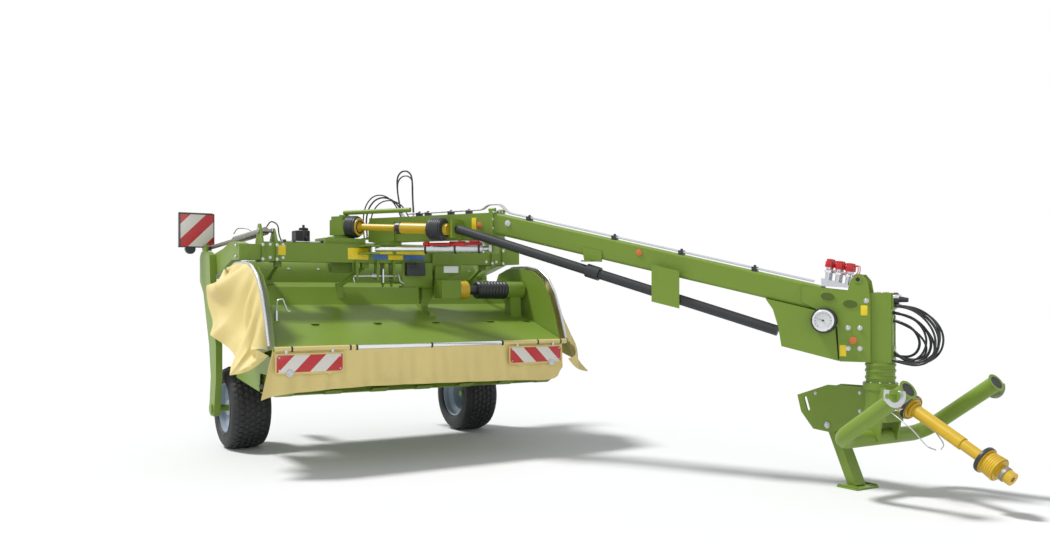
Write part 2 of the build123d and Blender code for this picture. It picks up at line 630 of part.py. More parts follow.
rear = block(-150, KNUCKLE - 20, -half, half, rear_low, REAR_TOP)
flange = block(KNUCKLE - 21, KNUCKLE, -112, 112, rear_low - 10, REAR_TOP + 22)
side_plates = [block(-150, 160, side * half, side * (half + 12), rear_low, REAR_TOP - 40) for side in (-1, 1)]
bearing_arm = block(DRIVE_START + 20, DRIVE_START + 36, -DRIVE_OFFSET - 70, -half + 1, rear_low + 5, rear_low + 175)
SWING_D = 1190
SWING_Z = rear_low - 87
eye_plates = [block(SWING_D - 36, SWING_D + 45, -45, 45, z, z + 14) for z in (SWING_Z + 30, SWING_Z - 44)]
eye_web = block(SWING_D + 52, SWING_D + 60, -45, 45, SWING_Z - 44, rear_low - 9)
eye_link = block(SWING_D + 40, SWING_D + 53, -45, 45, SWING_Z - 44, SWING_Z + 44)
eye_top = block(SWING_D - 36, SWING_D + 60, -45, 45, SWING_Z + 43, rear_low + 1)
HOSE_SHELF_TOP = 2044
hose_shelf = block(-245, -149, -95, 95, HOSE_SHELF_TOP - 14, HOSE_SHELF_TOP)
put(
    "drawbar_rear",
    fused(rear, flange, *side_plates, bearing_arm, *eye_plates, eye_link, eye_web, eye_top, hose_shelf),
    BAR_FRAME,
)

beam_line = (
    (KNUCKLE + CLEAR, bar_top(KNUCKLE)), (BAR_END, bar_top(BAR_END)), (BAR_END, bar_bottom(BAR_END)),
    (KNUCKLE + CLEAR, bar_bottom(KNUCKLE)),
)
main_beam = plate_xz(beam_line, -half, BAR_WIDTH)
beam_flange = block(KNUCKLE + CLEAR, KNUCKLE + 20, -112, 112, rear_low - 10, REAR_TOP + 22)
main_beam = fillet(main_beam.edges().filter_by(lambda e: e.length > 2000), 22)
put("drawbar_beam", fused(main_beam, beam_flange), BAR_FRAME)

# head: side plates, neck gearbox and the guard over the drive
HEAD_FACE = NECK_REACH + 90
head_back = NECK_REACH - 560
head_line = (
    (head_back, bar_top(head_back) - 30), (NECK_REACH - 220, bar_top(NECK_REACH - 220) + 10),
    (NECK_REACH - 200, 1590), (NECK_REACH - 160, 1640), (NECK_REACH - 120, 1640), (NECK_REACH - 80, 1590),
    (NECK_REACH - 55, 1450), (NECK_REACH - 55, HEAD_LOW), (NECK_REACH - 280, HEAD_LOW), (NECK_REACH - 300, 1330),
    (BAR_END, bar_bottom(BAR_END)), (head_back, bar_bottom(head_back) + 40),
)
plates = [plate_xz(head_line, side * (half + 7) - 7, 14) for side in (-1, 1)]
core = plate_xz(
    ((BAR_END + CLEAR, bar_top(BAR_END) - 40), (NECK_REACH - 100, bar_top(NECK_REACH - 100) - 40),
     (NECK_REACH - 100, HEAD_LOW), (NECK_REACH - 260, HEAD_LOW), (NECK_REACH - 270, 1250),
     (BAR_END + CLEAR, bar_bottom(BAR_END) + 10)),
    -half, BAR_WIDTH,
)
gear_head = block(NECK_REACH - 101, HEAD_FACE, -92, 92, HEAD_LOW, 1500)
put("drawbar_head", fused(*plates, core, gear_head), BAR_FRAME)
guard_back = NECK_REACH - 840
guard_side = half + 25
guard_line = (
    (guard_back, bar_bottom(guard_back)), (guard_back + 60, 1370), (guard_back + 102, 1230), (guard_back + 126, 1085),
    (NECK_REACH - 288, 985), (NECK_REACH - 310, 1240), (BAR_END - 5, bar_bottom(BAR_END - 5)),
)
put("drive_guard", plate_xz(guard_line, -guard_side, guard_side + half + 15), BAR_FRAME)
neck = rod((NECK_REACH, 0, NECK_LOW + CLEAR), (NECK_REACH, 0, HEAD_LOW), NECK_RADIUS)
neck_flange = rod((NECK_REACH, 0, NECK_LOW + CLEAR), (NECK_REACH, 0, NECK_LOW + 26), NECK_RADIUS + 22)
put("hitch_neck", fused(neck, neck_flange), BAR_FRAME)

# driveline under the beam, its centre bearing, hanger and guard sleeve
start = Vector(DRIVE_START + 58, -DRIVE_OFFSET, DRIVE_START_Z)
finish = Vector(DRIVE_END, -60, DRIVE_END_Z)
line = finish - start
centre = start + line * 0.46
along = line.normalized()
tubes = rod(start, finish - along * 6, DRIVE_RADIUS)
coupling = rod(centre - along * 60, centre + along * 60, DRIVE_RADIUS + 16)
bearing_stub = rod((DRIVE_START + 36 + CLEAR, start.Y, start.Z), (start.X + 6, start.Y, start.Z), 26)
put("driveline", fused(tubes, coupling, bearing_stub), BAR_FRAME)
hang_x = centre.X
hanger_plate = plate_xz(
    ((hang_x - 130, bar_bottom(hang_x - 130) + 70), (hang_x + 60, bar_bottom(hang_x + 60) + 70),
     (hang_x + 60, bar_bottom(hang_x + 60) - 20), (hang_x - 10, centre.Z + 92), (hang_x - 100, centre.Z + 92)),
    -half - 14, 14,
)
hanger_foot = block(hang_x - 100, hang_x - 20, centre.Y - 40, -half, centre.Z + 92, centre.Z + 104)
sleeve_x = 2950
at_sleeve = start + line * ((sleeve_x - start.X) / line.X)
sleeve_low = at_sleeve.Z - 75
sleeve = plate_xz(
    ((sleeve_x - 120, bar_bottom(sleeve_x - 120) + 60), (sleeve_x + 120, bar_bottom(sleeve_x + 120) + 60),
     (sleeve_x + 120, sleeve_low - 28), (sleeve_x - 120, sleeve_low + 28)),
    at_sleeve.Y - 62, 6,
)
bar_low = bar_bottom(sleeve_x)
sleeve_top = block(sleeve_x - 100, sleeve_x + 90, at_sleeve.Y - 60, -half, bar_low + 5, bar_low + 35)
put("driveline_hangers", fused(fused(hanger_plate, hanger_foot), fused(sleeve, sleeve_top)), BAR_FRAME)

# gauge wheel on the head and the parked couplers above it
gauge_x = NECK_REACH - 385
put(
    "pressure_gauge",
    fused(
        rod((gauge_x, -guard_side, 1290), (gauge_x, -guard_side - 45, 1290), 95),
        rod((gauge_x, -guard_side - 44, 1290), (gauge_x, -guard_side - 60, 1290), 80),
    ),
    BAR_FRAME,
)
rack_end = BAR_END + 250
rack = [
    plate_xz(
        ((BAR_END, bar_top(BAR_END) + CLEAR), (rack_end, bar_top(rack_end) + 40), (rack_end, bar_top(rack_end) + 52),
         (BAR_END, bar_top(BAR_END) + 60)),
        -80, 160,
    )
]
for i in range(6):
    x = gauge_x + 75 * (i // 2)
    y = -42 + 84 * (i % 2)
    low = bar_top(x) + 30
    rack.append(rod((x, y, low), (x + 20, y, low + 150), 20))
put("hose_couplers", fused(*rack), BAR_FRAME)

# free hose loops: over the pivot to the shelf behind it, and in front of the head
REAR_HOSE = 16
HEAD_HOSE = 20
hose_routes = {
    "hose_loop_pivot_low": (REAR_HOSE, (
        (235, -45, REAR_TOP), (190, -50, 2330), (110, -56, 2405), (5, -62, 2440), (-100, -66, 2420),
        (-178, -68, 2340), (-208, -68, 2235), (-205, -66, 2135), (-196, -66, HOSE_SHELF_TOP),
    )),
    "hose_loop_pivot_tall": (REAR_HOSE, (
        (300, 20, REAR_TOP), (294, 20, 2340), (287, 18, 2460), (289, 14, 2632), (237, 11, 2690),
        (163, 8, 2690), (111, 6, 2632), (118, 4, 2500), (138, 2, 2400), (160, 0, 2320), (168, -2, REAR_TOP),
    )),
    "hose_loop_head_upper": (HEAD_HOSE, (
        (HEAD_FACE, -45, 1405), (HEAD_FACE + 110, -50, 1396), (HEAD_FACE + 215, -58, 1345),
        (HEAD_FACE + 295, -66, 1260), (HEAD_FACE + 330, -72, 1155), (HEAD_FACE + 305, -74, 1045),
        (HEAD_FACE + 220, -70, 975), (HEAD_FACE + 110, -62, 972), (HEAD_FACE, -55, 1000),
    )),
    "hose_loop_head_middle": (HEAD_HOSE, (
        (HEAD_FACE, 0, 1350), (HEAD_FACE + 95, 0, 1335), (HEAD_FACE + 185, -4, 1280),
        (HEAD_FACE + 250, -8, 1200), (HEAD_FACE + 270, -12, 1105), (HEAD_FACE + 230, -14, 1015),
        (HEAD_FACE + 145, -12, 975), (HEAD_FACE + 55, -8, 1010), (HEAD_FACE, -6, 1070),
    )),
    "hose_loop_head_lower": (HEAD_HOSE, (
        (HEAD_FACE, 50, 1290), (HEAD_FACE + 80, 54, 1268), (HEAD_FACE + 152, 58, 1210),
        (HEAD_FACE + 185, 60, 1125), (HEAD_FACE + 155, 62, 1042), (HEAD_FACE + 75, 60, 1012),
        (HEAD_FACE, 54, 1032),
    )),
}


def seated(end, beyond, normal, radius):
    """The end of a hose, drawn back along its first run until its rim clears the face it comes out of."""
    run = (Vector(*beyond) - Vector(*end)).normalized()
    lean = radians(run.get_angle(normal))
    return Vector(*end) + run * ((radius * sin(lean) + CLEAR) / cos(lean))


for name, (diameter, route) in hose_routes.items():
    normal = Vector(1, 0, 0) if "head" in name else Vector(0, 0, 1)
    points = [Vector(*place) for place in route]
    points[0] = seated(route[0], route[1], normal, diameter / 2)
    points[-1] = seated(route[-1], route[-2], normal, diameter / 2)
    runs = [after - before for before, after in zip(points, points[1:])]
    radii = []
    for before, after in zip(runs, runs[1:]):
        turn = radians(before.get_angle(after))
        radii.append(0.45 * min(before.length, after.length) * cos(turn / 2) / sin(turn / 2))
    print(name, "radii", [round(radius) for radius in radii])
    put(name, bent_tube(points, radii, diameter / 2), BAR_FRAME)

# swing cylinder: barrel on the drawbar, rod to the clevis on the portal frame
eye_at = Vector(SWING_EYE[0], SWING_EYE[1] - PIVOT_Y, 0)
ahead = Vector(sin(radians(SWING)), -cos(radians(SWING)), 0)
left_of = Vector(cos(radians(SWING)), sin(radians(SWING)), 0)
eye_bar = Vector(eye_at.dot(ahead), eye_at.dot(left_of), SWING_Z)
barrel_eye = Vector(SWING_D, 0, SWING_Z)
way = (eye_bar - barrel_eye).normalized()
span = (eye_bar - barrel_eye).length
EYE_RADIUS = 32
barrel = rod(barrel_eye + way * 75, barrel_eye + way * 640, 42, 22.5)
barrel_neck = rod(barrel_eye, barrel_eye + way * 76, 24)
barrel_cap = fused(rod(barrel_eye + way * 75, barrel_eye + way * 100, 42), barrel_neck)
barrel_end = rod(barrel_eye - Vector(0, 0, 30 - CLEAR), barrel_eye + Vector(0, 0, 30 - CLEAR), EYE_RADIUS)
put("swing_cylinder_barrel", fused(barrel, barrel_cap, barrel_end), BAR_FRAME)
piston_rod = rod(barrel_eye + way * 420, eye_bar - way * 20, 22)
rod_end = rod(eye_bar + Vector(0, 0, -24), eye_bar + Vector(0, 0, 24), EYE_RADIUS - 4)
put("swing_cylinder_rod", fused(piston_rod, rod_end), BAR_FRAME)

# ---------------------------------------------------------------- hitch, square to the machine
HITCH_FRAME = Plane(origin=(NECK_X, NECK_Y, 0))
STAND_PIN = 16
with BuildPart() as housing:
    with BuildSketch(Plane.XY.offset(HOUSING_LOW)):
        Circle(118)
        with Locations((0, -40)):
            Rectangle(200, 170)
    extrude(amount=NECK_LOW - HOUSING_LOW)
    with BuildSketch(Plane.XY.offset(NECK_LOW - 26)):
        Circle(NECK_RADIUS + 22)
    extrude(amount=26)
plate_line = (
    (60, 785), (430, 777), (740, 672), (700, 540), (575, 415), (380, 405), (240, 470), (60, 545),
)
rear_plates = []
for side in (-1, 1):
    x = side * 78 - 7
    with BuildPart() as cheek:
        with BuildSketch(Plane.YZ.offset(x)):
            with BuildLine():
                Polyline(*plate_line, close=True)
            make_face()
            with Locations((STAND_Y, STAND_Z)):
                Circle(STAND_PIN + CLEAR, mode=Mode.SUBTRACT)
            with Locations((640, 610)):
                SlotOverall(120, 32, rotation=70, mode=Mode.SUBTRACT)
        extrude(amount=14)
    rear_plates.append(cheek.part)
web = block(-72, 72, 90, 200, 600, 770)
web_back = block(-72, 72, 560, 600, 640, 700)
put("hitch_housing", fused(housing.part, *rear_plates, web, web_back), HITCH_FRAME)

yoke_points = (
    (-YOKE_HALF, -YOKE_REACH, YOKE_END_Z), (-YOKE_HALF, 0, YOKE_LOW_Z), (YOKE_HALF, 0, YOKE_LOW_Z),
    (YOKE_HALF, -YOKE_REACH, YOKE_END_Z),
)
yoke_tube = bent_tube(yoke_points, [150, 150], YOKE_TUBE)
saddles = [
    plate_yz(
        ((-95, HOUSING_LOW - CLEAR), (100, HOUSING_LOW - CLEAR), (70, YOKE_LOW_Z - 20), (-70, YOKE_LOW_Z - 20)),
        x, 20,
    )
    for x in (-120, 100)
]
PIN_RADIUS = 18.3
PIN_LENGTH = 70
rise = Vector(0, -YOKE_REACH, YOKE_END_Z - YOKE_LOW_Z).normalized()
pins = []
for side in (-1, 1):
    tip = Vector(side * YOKE_HALF, -YOKE_REACH, YOKE_END_Z) - rise * 70
    reach = Vector(side, 0, 0)
    pins.append(rod(tip + reach * 40, tip + reach * (YOKE_TUBE + 12), 46))
    pins.append(rod(tip + reach * (YOKE_TUBE + 11), tip + reach * (YOKE_TUBE + 12 + PIN_LENGTH), PIN_RADIUS))
put("hitch_yoke", fused(yoke_tube, *saddles, *pins), HITCH_FRAME)

# parking stand: leg between the rear plates, swung down and pinned
lean = Vector(0, FOOT_Y - STAND_Y, -STAND_Z).normalized()
STAND_FRAME = Plane(origin=(NECK_X, NECK_Y, 0))
top = Vector(0, STAND_Y, STAND_Z) - lean * 50
bottom = Vector(0, FOOT_Y, 8)
with BuildPart() as leg:
    with BuildSketch(Plane(origin=top, x_dir=(1, 0, 0), z_dir=lean)):
        Rectangle(2 * (71 - RUN_CLEAR) - 14, 76)
    extrude(amount=(bottom - top).length)
    with BuildSketch(Plane.XY):
        with Locations((0, FOOT_Y)):
            Rectangle(250, 190)
    extrude(amount=14)
    split(bisect_by=Plane.XY, keep=Keep.TOP)
stand_pin = rod((-88, STAND_Y, STAND_Z), (88, STAND_Y, STAND_Z), STAND_PIN)
put("parking_stand", fused(leg.part, stand_pin), STAND_FRAME)

# drive shaft to the tractor, resting at its slope on its holder
PTO_START = Vector(0, -128, 735)
PTO_DROP = 27.4
pto_way = Vector(0, -cos(radians(PTO_DROP)), -sin(radians(PTO_DROP)))
pto_parts = [
    rod(PTO_START + pto_way * 10, PTO_START + pto_way * 60, 24),
    rod(PTO_START + pto_way * 55, PTO_START + pto_way * 150, 78),
    rod(PTO_START + pto_way * 140, PTO_START + pto_way * 172, 92),
    rod(PTO_START + pto_way * 165, PTO_START + pto_way * 620, 47),
    rod(PTO_START + pto_way * 610, PTO_START + pto_way * 800, 40),
    rod(PTO_START + pto_way * 790, PTO_START + pto_way * 825, 92),
    rod(PTO_START + pto_way * 820, PTO_START + pto_way * 930, 78),
    rod(PTO_START + pto_way * 925, PTO_START + pto_way * 1030, 48, 20),
]
put("pto_shaft", fused(*pto_parts), HITCH_FRAME)
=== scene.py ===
"""Looks of a trailed disc mower with a conditioner and a swinging centre drawbar."""

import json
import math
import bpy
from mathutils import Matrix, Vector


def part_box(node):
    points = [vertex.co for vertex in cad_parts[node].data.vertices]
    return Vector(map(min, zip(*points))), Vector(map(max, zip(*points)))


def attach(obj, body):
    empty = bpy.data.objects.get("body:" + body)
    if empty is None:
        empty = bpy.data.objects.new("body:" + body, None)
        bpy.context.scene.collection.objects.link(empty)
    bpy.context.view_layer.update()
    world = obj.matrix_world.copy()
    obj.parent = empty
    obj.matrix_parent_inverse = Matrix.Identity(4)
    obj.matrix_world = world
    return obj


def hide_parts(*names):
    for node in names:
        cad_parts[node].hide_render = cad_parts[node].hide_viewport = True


bl_info = {
    "name": "Trailed disc mower finish",
    "version": (1, 0, 0),
    "blender": (4, 5, 0),
    "location": "View3D > Sidebar > Mower",
    "description": "Builds the finish of a trailed disc mower on its packed frame",
    "category": "Add Mesh",
}

import bpy
from mathutils import Euler, Matrix, Vector

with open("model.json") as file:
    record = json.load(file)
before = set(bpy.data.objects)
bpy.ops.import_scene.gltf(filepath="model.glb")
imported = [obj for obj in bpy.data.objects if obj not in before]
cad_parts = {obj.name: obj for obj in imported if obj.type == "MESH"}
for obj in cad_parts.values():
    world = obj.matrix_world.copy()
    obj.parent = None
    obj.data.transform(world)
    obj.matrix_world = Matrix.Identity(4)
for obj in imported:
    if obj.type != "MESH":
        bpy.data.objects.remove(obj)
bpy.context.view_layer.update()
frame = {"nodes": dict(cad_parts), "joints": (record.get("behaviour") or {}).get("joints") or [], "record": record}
UP = Vector((0, 0, 1))
ACROSS = Vector((1, 0, 0))
REARWARDS = Vector((0, 1, 0))

# ---------------------------------------------------------------- places, from the frame
JOINT = {joint["name"]: joint for joint in frame["joints"]}
MOUNT = {mount["name"]: mount for mount in frame["record"]["mounts"]}
WHEEL_LEFT = Vector(JOINT["wheel_left_spin"]["pos_m"])
WHEEL_RIGHT = Vector(JOINT["wheel_right_spin"]["pos_m"])
PIVOT = Vector(JOINT["drawbar_swing"]["pos_m"])
NECK = Vector(JOINT["hitch_turn"]["pos_m"])
SIDES = ((-1, "right"), (1, "left"))
BAR_AHEAD = Vector((NECK.x - PIVOT.x, NECK.y - PIVOT.y, 0)).normalized()
BAR_LEFT = UP.cross(BAR_AHEAD)
BAR_TURN = math.atan2(BAR_AHEAD.y, BAR_AHEAD.x)
BEAM_LINE = PIVOT.y - 0.1  # where at() counts from, just ahead of the pivot


def at(x, y, z):
    """A point of the machine: x to its left from the middle, y rearwards from the beam's line, z up."""
    return Vector((PIVOT.x + x, BEAM_LINE + y, z))


def on_bar(x, y, z):
    """A point of the drawbar: x ahead of the pivot along it, y to its left, z above the ground."""
    place = PIVOT + BAR_AHEAD * x + BAR_LEFT * y
    return Vector((place.x, place.y, z))


def on_hitch(x, y, z):
    """A point of the hitch, square to the machine, from the neck's axis on the ground."""
    return Vector((NECK.x + x, NECK.y + y, z))


# ---------------------------------------------------------------- sizes and colours a user would change
class MowerPaint(bpy.types.PropertyGroup):
    green: bpy.props.FloatVectorProperty(
        name="Green", description="Main paint", subtype="COLOR", size=4, default=(0.185, 0.285, 0.036, 1))
    rim: bpy.props.FloatVectorProperty(
        name="Rim", description="Wheel rim paint", subtype="COLOR", size=4, default=(0.36, 0.43, 0.52, 1))
    guard: bpy.props.FloatVectorProperty(
        name="Shaft guard", description="Plastic of the shaft guards", subtype="COLOR", size=4,
        default=(0.62, 0.40, 0.018, 1))
    cloth: bpy.props.FloatVectorProperty(
        name="Cloth", description="Coated cloth of the guards", subtype="COLOR", size=4,
        default=(0.74, 0.60, 0.23, 1))
    stripe: bpy.props.FloatVectorProperty(
        name="Stripe", description="Red of the warning boards", subtype="COLOR", size=4,
        default=(0.50, 0.006, 0.012, 1))


class MowerSizes(bpy.types.PropertyGroup):
    stripe_width: bpy.props.FloatProperty(
        name="Stripe width", description="Width of a board's stripe", default=0.096, min=0.02,
        unit="LENGTH")
    lug_count: bpy.props.IntProperty(
        name="Lugs", description="Tread lugs round a tyre", default=40, min=20, max=80)
    lug_height: bpy.props.FloatProperty(
        name="Lug height", description="Height of the tread", default=0.012, min=0.004, unit="LENGTH")


# ---------------------------------------------------------------- shader maths
class Wire:
    """A socket whose sums and products add the Math nodes."""

    def __init__(self, kit, socket):
        self.kit = kit
        self.socket = socket

    def _math(self, kind, *values, clamp=False):
        return self.kit.add("ShaderNodeMath", {"operation": kind, "use_clamp": clamp}, *values)

    def __add__(self, other):
        return self._math("ADD", self, other)

    __radd__ = __add__

    def __sub__(self, other):
        return self._math("SUBTRACT", self, other)

    def __rsub__(self, other):
        return self._math("SUBTRACT", other, self)

    def __mul__(self, other):
        return self._math("MULTIPLY", self, other)

    __rmul__ = __mul__

    def __mod__(self, other):
        return self._math("WRAP", self, other, 0.0)

    def __lt__(self, other):
        return self._math("LESS_THAN", self, other)

    def clamped(self):
        return self._math("ADD", self, 0.0, clamp=True)

    def unsigned(self):
        return self._math("ABSOLUTE", self)

    def wave(self):
        return self._math("SINE", self)


class NodeKit:
    """The nodes of one tree."""

    def __init__(self, tree):
        self.nodes = tree.nodes
        self.links = tree.links

    def add(self, kind, settings, *values, output=0, **named):
        """A node with its settings, then the values or links of its sockets; gives one of its outputs."""
        node = self.nodes.new(kind)
        for key, value in settings.items():
            setattr(node, key, value)
        for index, value in enumerate(values):
            self.feed(node.inputs[index], value)
        for name, value in named.items():
            self.feed(node.inputs[name.replace("_", " ")], value)
        return Wire(self, node.outputs[output])

    def feed(self, socket, value):
        if isinstance(value, Wire):
            self.links.new(value.socket, socket)
        elif value is not None:
            socket.default_value = value

    def outputs(self, wire):
        """All outputs of the node that a wire leaves."""
        return [Wire(self, socket) for socket in wire.socket.node.outputs]

    def mixed(self, mask, first, second):
        """Colours mixed by a mask; the Mix node's sockets for numbers and vectors stay as they are."""
        unset = [None] * 5
        return self.add("ShaderNodeMix", {"data_type": "RGBA"}, mask, *unset, first, second, output=2)


class Shading(NodeKit):
    """The nodes of one material."""

    def __init__(self, name):
        self.material = bpy.data.materials.new(name)
        self.material.use_nodes = True
        super().__init__(self.material.node_tree)
        self.shader = self.nodes["Principled BSDF"]

    def place(self):
        return self.add("ShaderNodeTexCoord", {}, output="Object")

    def parts(self, vector):
        return self.outputs(self.add("ShaderNodeSeparateXYZ", {}, vector))

    def noise(self, scale, detail):
        return self.add("ShaderNodeTexNoise", {}, self.place(), Scale=scale, Detail=detail)

    def cells(self, scale, **settings):
        return self.add("ShaderNodeTexVoronoi", settings, self.place(), Scale=scale)

    def bumped(self, height, strength, distance=0.001):
        wire = self.add("ShaderNodeBump", {}, Strength=strength, Distance=distance, Height=height)
        self.links.new(wire.socket, self.shader.inputs["Normal"])

    def finish(self, **sockets):
        for name, value in sockets.items():
            self.feed(self.shader.inputs[name.replace("_", " ")], value)
        return self.material


def tinted(colour, factor):
    """A colour made lighter or darker."""
    return tuple(min(1, channel * factor) for channel in colour[:3]) + (1,)


def paint(name, colour, roughness=0.32, grime=0.35):
    """Sprayed paint: slight cloudiness, orange peel, dust that settles low and in patches."""
    shading = Shading(name)
    height = shading.parts(shading.place())[2]
    cloud = shading.noise(3.0, 3.0)
    fine = shading.noise(60.0, 2.0)
    base = shading.mixed(cloud, tinted(colour, 0.92), tinted(colour, 1.07))
    dust = ((shading.noise(9.0, 6.0) - 0.45) * 2.2).clamped() * ((1.2 - height) * 0.5).clamped() * grime
    speck = ((shading.noise(130.0, 2.0) - 0.66) * 9.0).clamped() * 0.25 * grime
    shade = shading.mixed((dust + speck).clamped(), base, (0.26, 0.23, 0.15, 1))
    shading.bumped(fine, 0.06, 0.0006)
    return shading.finish(Base_Color=shade, Roughness=cloud * 0.10 + dust * 0.3 + (roughness + 0.05),
                          Specular_IOR_Level=0.3, Coat_Weight=0.06, Coat_Roughness=0.18)


def metal(name, colour, roughness=0.3, grain=70.0, patchy=0.25):
    """Zinc plate, steel or chrome: fine grain and cells of spangle."""
    shading = Shading(name)
    grains = shading.noise(grain, 5.0)
    spangle = shading.cells(grain * 0.7)
    base = shading.mixed(grains, tinted(colour, 1 - patchy), tinted(colour, 1 + patchy * 0.4))
    shading.bumped(grains, 0.12, 0.0004)
    return shading.finish(Base_Color=base, Metallic=0.9,
                          Roughness=spangle * 0.12 + grains * 0.1 + (roughness - 0.1))


def plastic(name, colour, roughness=0.4, grain=240.0, depth=0.10):
    """Moulded plastic or rubber: fine leathery grain and slight mottling."""
    shading = Shading(name)
    grains = shading.noise(grain, 3.0)
    cloud = shading.noise(6.0, 4.0)
    base = shading.mixed(cloud, tinted(colour, 0.86), tinted(colour, 1.12))
    shading.bumped(grains, depth, 0.0005)
    return shading.finish(Base_Color=base, Roughness=cloud * 0.14 + (roughness - 0.07))


def tyre_rubber():
    """Tyre rubber, greyer with dust in the tread and on the shoulders."""
    shading = Shading("tyre rubber")
    cloud = shading.noise(14.0, 6.0)
    dust = ((cloud - 0.42) * 2.0).clamped()
    base = shading.mixed(dust * 0.5, (0.020, 0.021, 0.023, 1), (0.065, 0.062, 0.055, 1))
    shading.bumped(shading.noise(180.0, 3.0), 0.2, 0.0006)
    return shading.finish(Base_Color=base, Roughness=cloud * 0.15 + 0.55)


def coated_cloth(colour):
    """Coated guard cloth: fine plain weave, cloudy tone, soft creases, grass stains low down."""
    shading = Shading("cream guard cloth")
    x, y, z = shading.parts(shading.place())
    weave = ((x + y) * 1900.0).wave() * (z * 1900.0).wave()
    cloud = shading.noise(2.4, 5.0)
    base = shading.mixed(cloud, tinted(colour, 0.88), tinted(colour, 1.10))
    stain = ((shading.noise(7.0, 6.0) - 0.48) * 3.0).clamped() * ((0.95 - z) * 3.0).clamped() * 0.35
    shade = shading.mixed(stain, base, (0.30, 0.26, 0.09, 1))
    creases = shading.noise(11.0, 5.0)
    shading.bumped(weave * 0.10 + creases, 0.35, 0.004)
    return shading.finish(Base_Color=shade, Roughness=cloud * 0.12 + 0.46, Sheen_Weight=0.15)


def striped(name, centre, way, colour, width):
    """Diagonal red and white reflective stripes across a board."""
    shading = Shading(name)
    x, y, z = shading.parts(shading.place())
    along = ((x - centre.x) * way + (z - centre.z)) * (0.7071 / (2 * width)) + 100.5
    red = ((along % 1.0) - 0.5).unsigned() < 0.25
    cells = shading.cells(420.0)
    red_tone = shading.mixed(cells, tinted(colour, 1.25), tinted(colour, 0.8))
    white = shading.mixed(cells, (0.80, 0.77, 0.70, 1), (0.62, 0.59, 0.53, 1))
    shading.bumped(cells, 0.08, 0.0003)
    dust = shading.noise(7.0, 4.0)
    return shading.finish(Base_Color=shading.mixed(red, white, red_tone), Roughness=dust * 0.15 + 0.22,
                          Coat_Weight=0.4)


def reflector(name, colour):
    """A moulded reflector with its prism cells."""
    shading = Shading(name)
    cells = shading.cells(330.0, distance="MANHATTAN")
    shading.bumped(cells, 0.5, 0.0008)
    return shading.finish(Base_Color=shading.mixed(cells, tinted(colour, 1.3), tinted(colour, 0.6)),
                          Roughness=cells * 0.1 + 0.12, Coat_Weight=0.6)


def hose_rubber():
    """Hydraulic hose: matt black cover with a fine grain and scuffs."""
    shading = Shading("hose rubber")
    scuff = ((shading.noise(26.0, 6.0) - 0.52) * 4.0).clamped()
    base = shading.mixed(scuff * 0.5, (0.012, 0.012, 0.014, 1), (0.07, 0.07, 0.075, 1))
    shading.bumped(shading.noise(420.0, 2.0), 0.25, 0.0005)
    return shading.finish(Base_Color=base, Roughness=scuff * 0.2 + 0.34)


FINISH = {}
# finishes with the name of a slot
ZINC = ("zinc", "zinc_steel")
GREEN = ("green", "green_paint")
GUARD = ("black plastic and hole shade", "black_guard")


def make_finishes(colours):
    FINISH.update({
        "green": paint("green paint", colours.green),
        # the main green darkened: painted shade for the inside of the head's recesses
        "painted recess shade": paint("painted shade of recesses", tinted(colours.green, 0.45), 0.5, 0.6),
        "rim": paint("rim paint", colours.rim, 0.30, 0.5),
        # real black paint, also used as painted shade in the lifting eyes' holes and the yoke tubes' ends
        "black paint": paint("black paint", (0.022, 0.023, 0.026, 1), 0.35),
        "zinc": metal("zinc plate", (0.62, 0.64, 0.67, 1)),
        "chrome": metal("chromed rod", (0.80, 0.81, 0.83, 1), 0.16, 220.0, 0.06),
        "steel": metal("worn steel", (0.33, 0.32, 0.30, 1), 0.42, 30.0, 0.45),
        # real black plastic, also used as painted shade in the rims' holes
        "black plastic and hole shade": plastic("black guard plastic and hole shade", (0.022, 0.024, 0.028, 1), 0.38),
        "yellow plastic": plastic("yellow guard plastic", colours.guard, 0.36, 180.0),
        "red plastic": plastic("red cap plastic", (0.55, 0.01, 0.015, 1), 0.3),
        "blue film": plastic("blue label film", (0.05, 0.16, 0.45, 1), 0.3),
        "yellow film": plastic("yellow label film", (0.88, 0.66, 0.01, 1), 0.28, 400.0, 0.03),
        "white film": plastic("white label film", (0.78, 0.79, 0.80, 1), 0.25, 400.0, 0.03),
        "dial": plastic("dial face", (0.70, 0.72, 0.72, 1), 0.25, 400.0, 0.02),
        "tyre": tyre_rubber(),
        "cloth": coated_cloth(colours.cloth),
        "cream plate": plastic("cream sheet", tinted(colours.cloth, 0.92), 0.42, 300.0, 0.04),
        "orange": reflector("orange reflector", (0.85, 0.18, 0.01, 1)),
        "clear": reflector("white reflector", (0.75, 0.77, 0.80, 1)),
        "red lens": reflector("red lens", (0.60, 0.01, 0.01, 1)),
        "hose": hose_rubber(),
    })


# ---------------------------------------------------------------- modelling helpers
CORE = 0.0005  # radius of a turned piece's profile where it meets the axis
GUIDE_THICKNESS = 0.002  # of a curve that only gives its line
FILM_EDGE = 0.0005  # bevel of a label film


def deselect():
    bpy.ops.object.select_all(action="DESELECT")


def chosen(piece):
    """Makes a piece the only selected one, and the active one."""
    deselect()
    piece.select_set(True)
    bpy.context.view_layer.objects.active = piece
    return piece


def place_in_mesh(piece):
    chosen(piece)
    bpy.ops.object.transform_apply(location=True, rotation=True, scale=True)


def apply_all(piece):
    chosen(piece)
    for modifier in list(piece.modifiers):
        bpy.ops.object.modifier_apply(modifier=modifier.name)


def removed(piece):
    bpy.data.objects.remove(piece)


def bevelled(piece, width, segments=2):
    bevel = piece.modifiers.new("edge", "BEVEL")
    bevel.width = width
    bevel.segments = segments
    bevel.limit_method = "ANGLE"
    bevel.harden_normals = False
    apply_all(piece)


def smooth(piece):
    chosen(piece)
    bpy.ops.object.shade_smooth_by_angle(angle=math.radians(35))


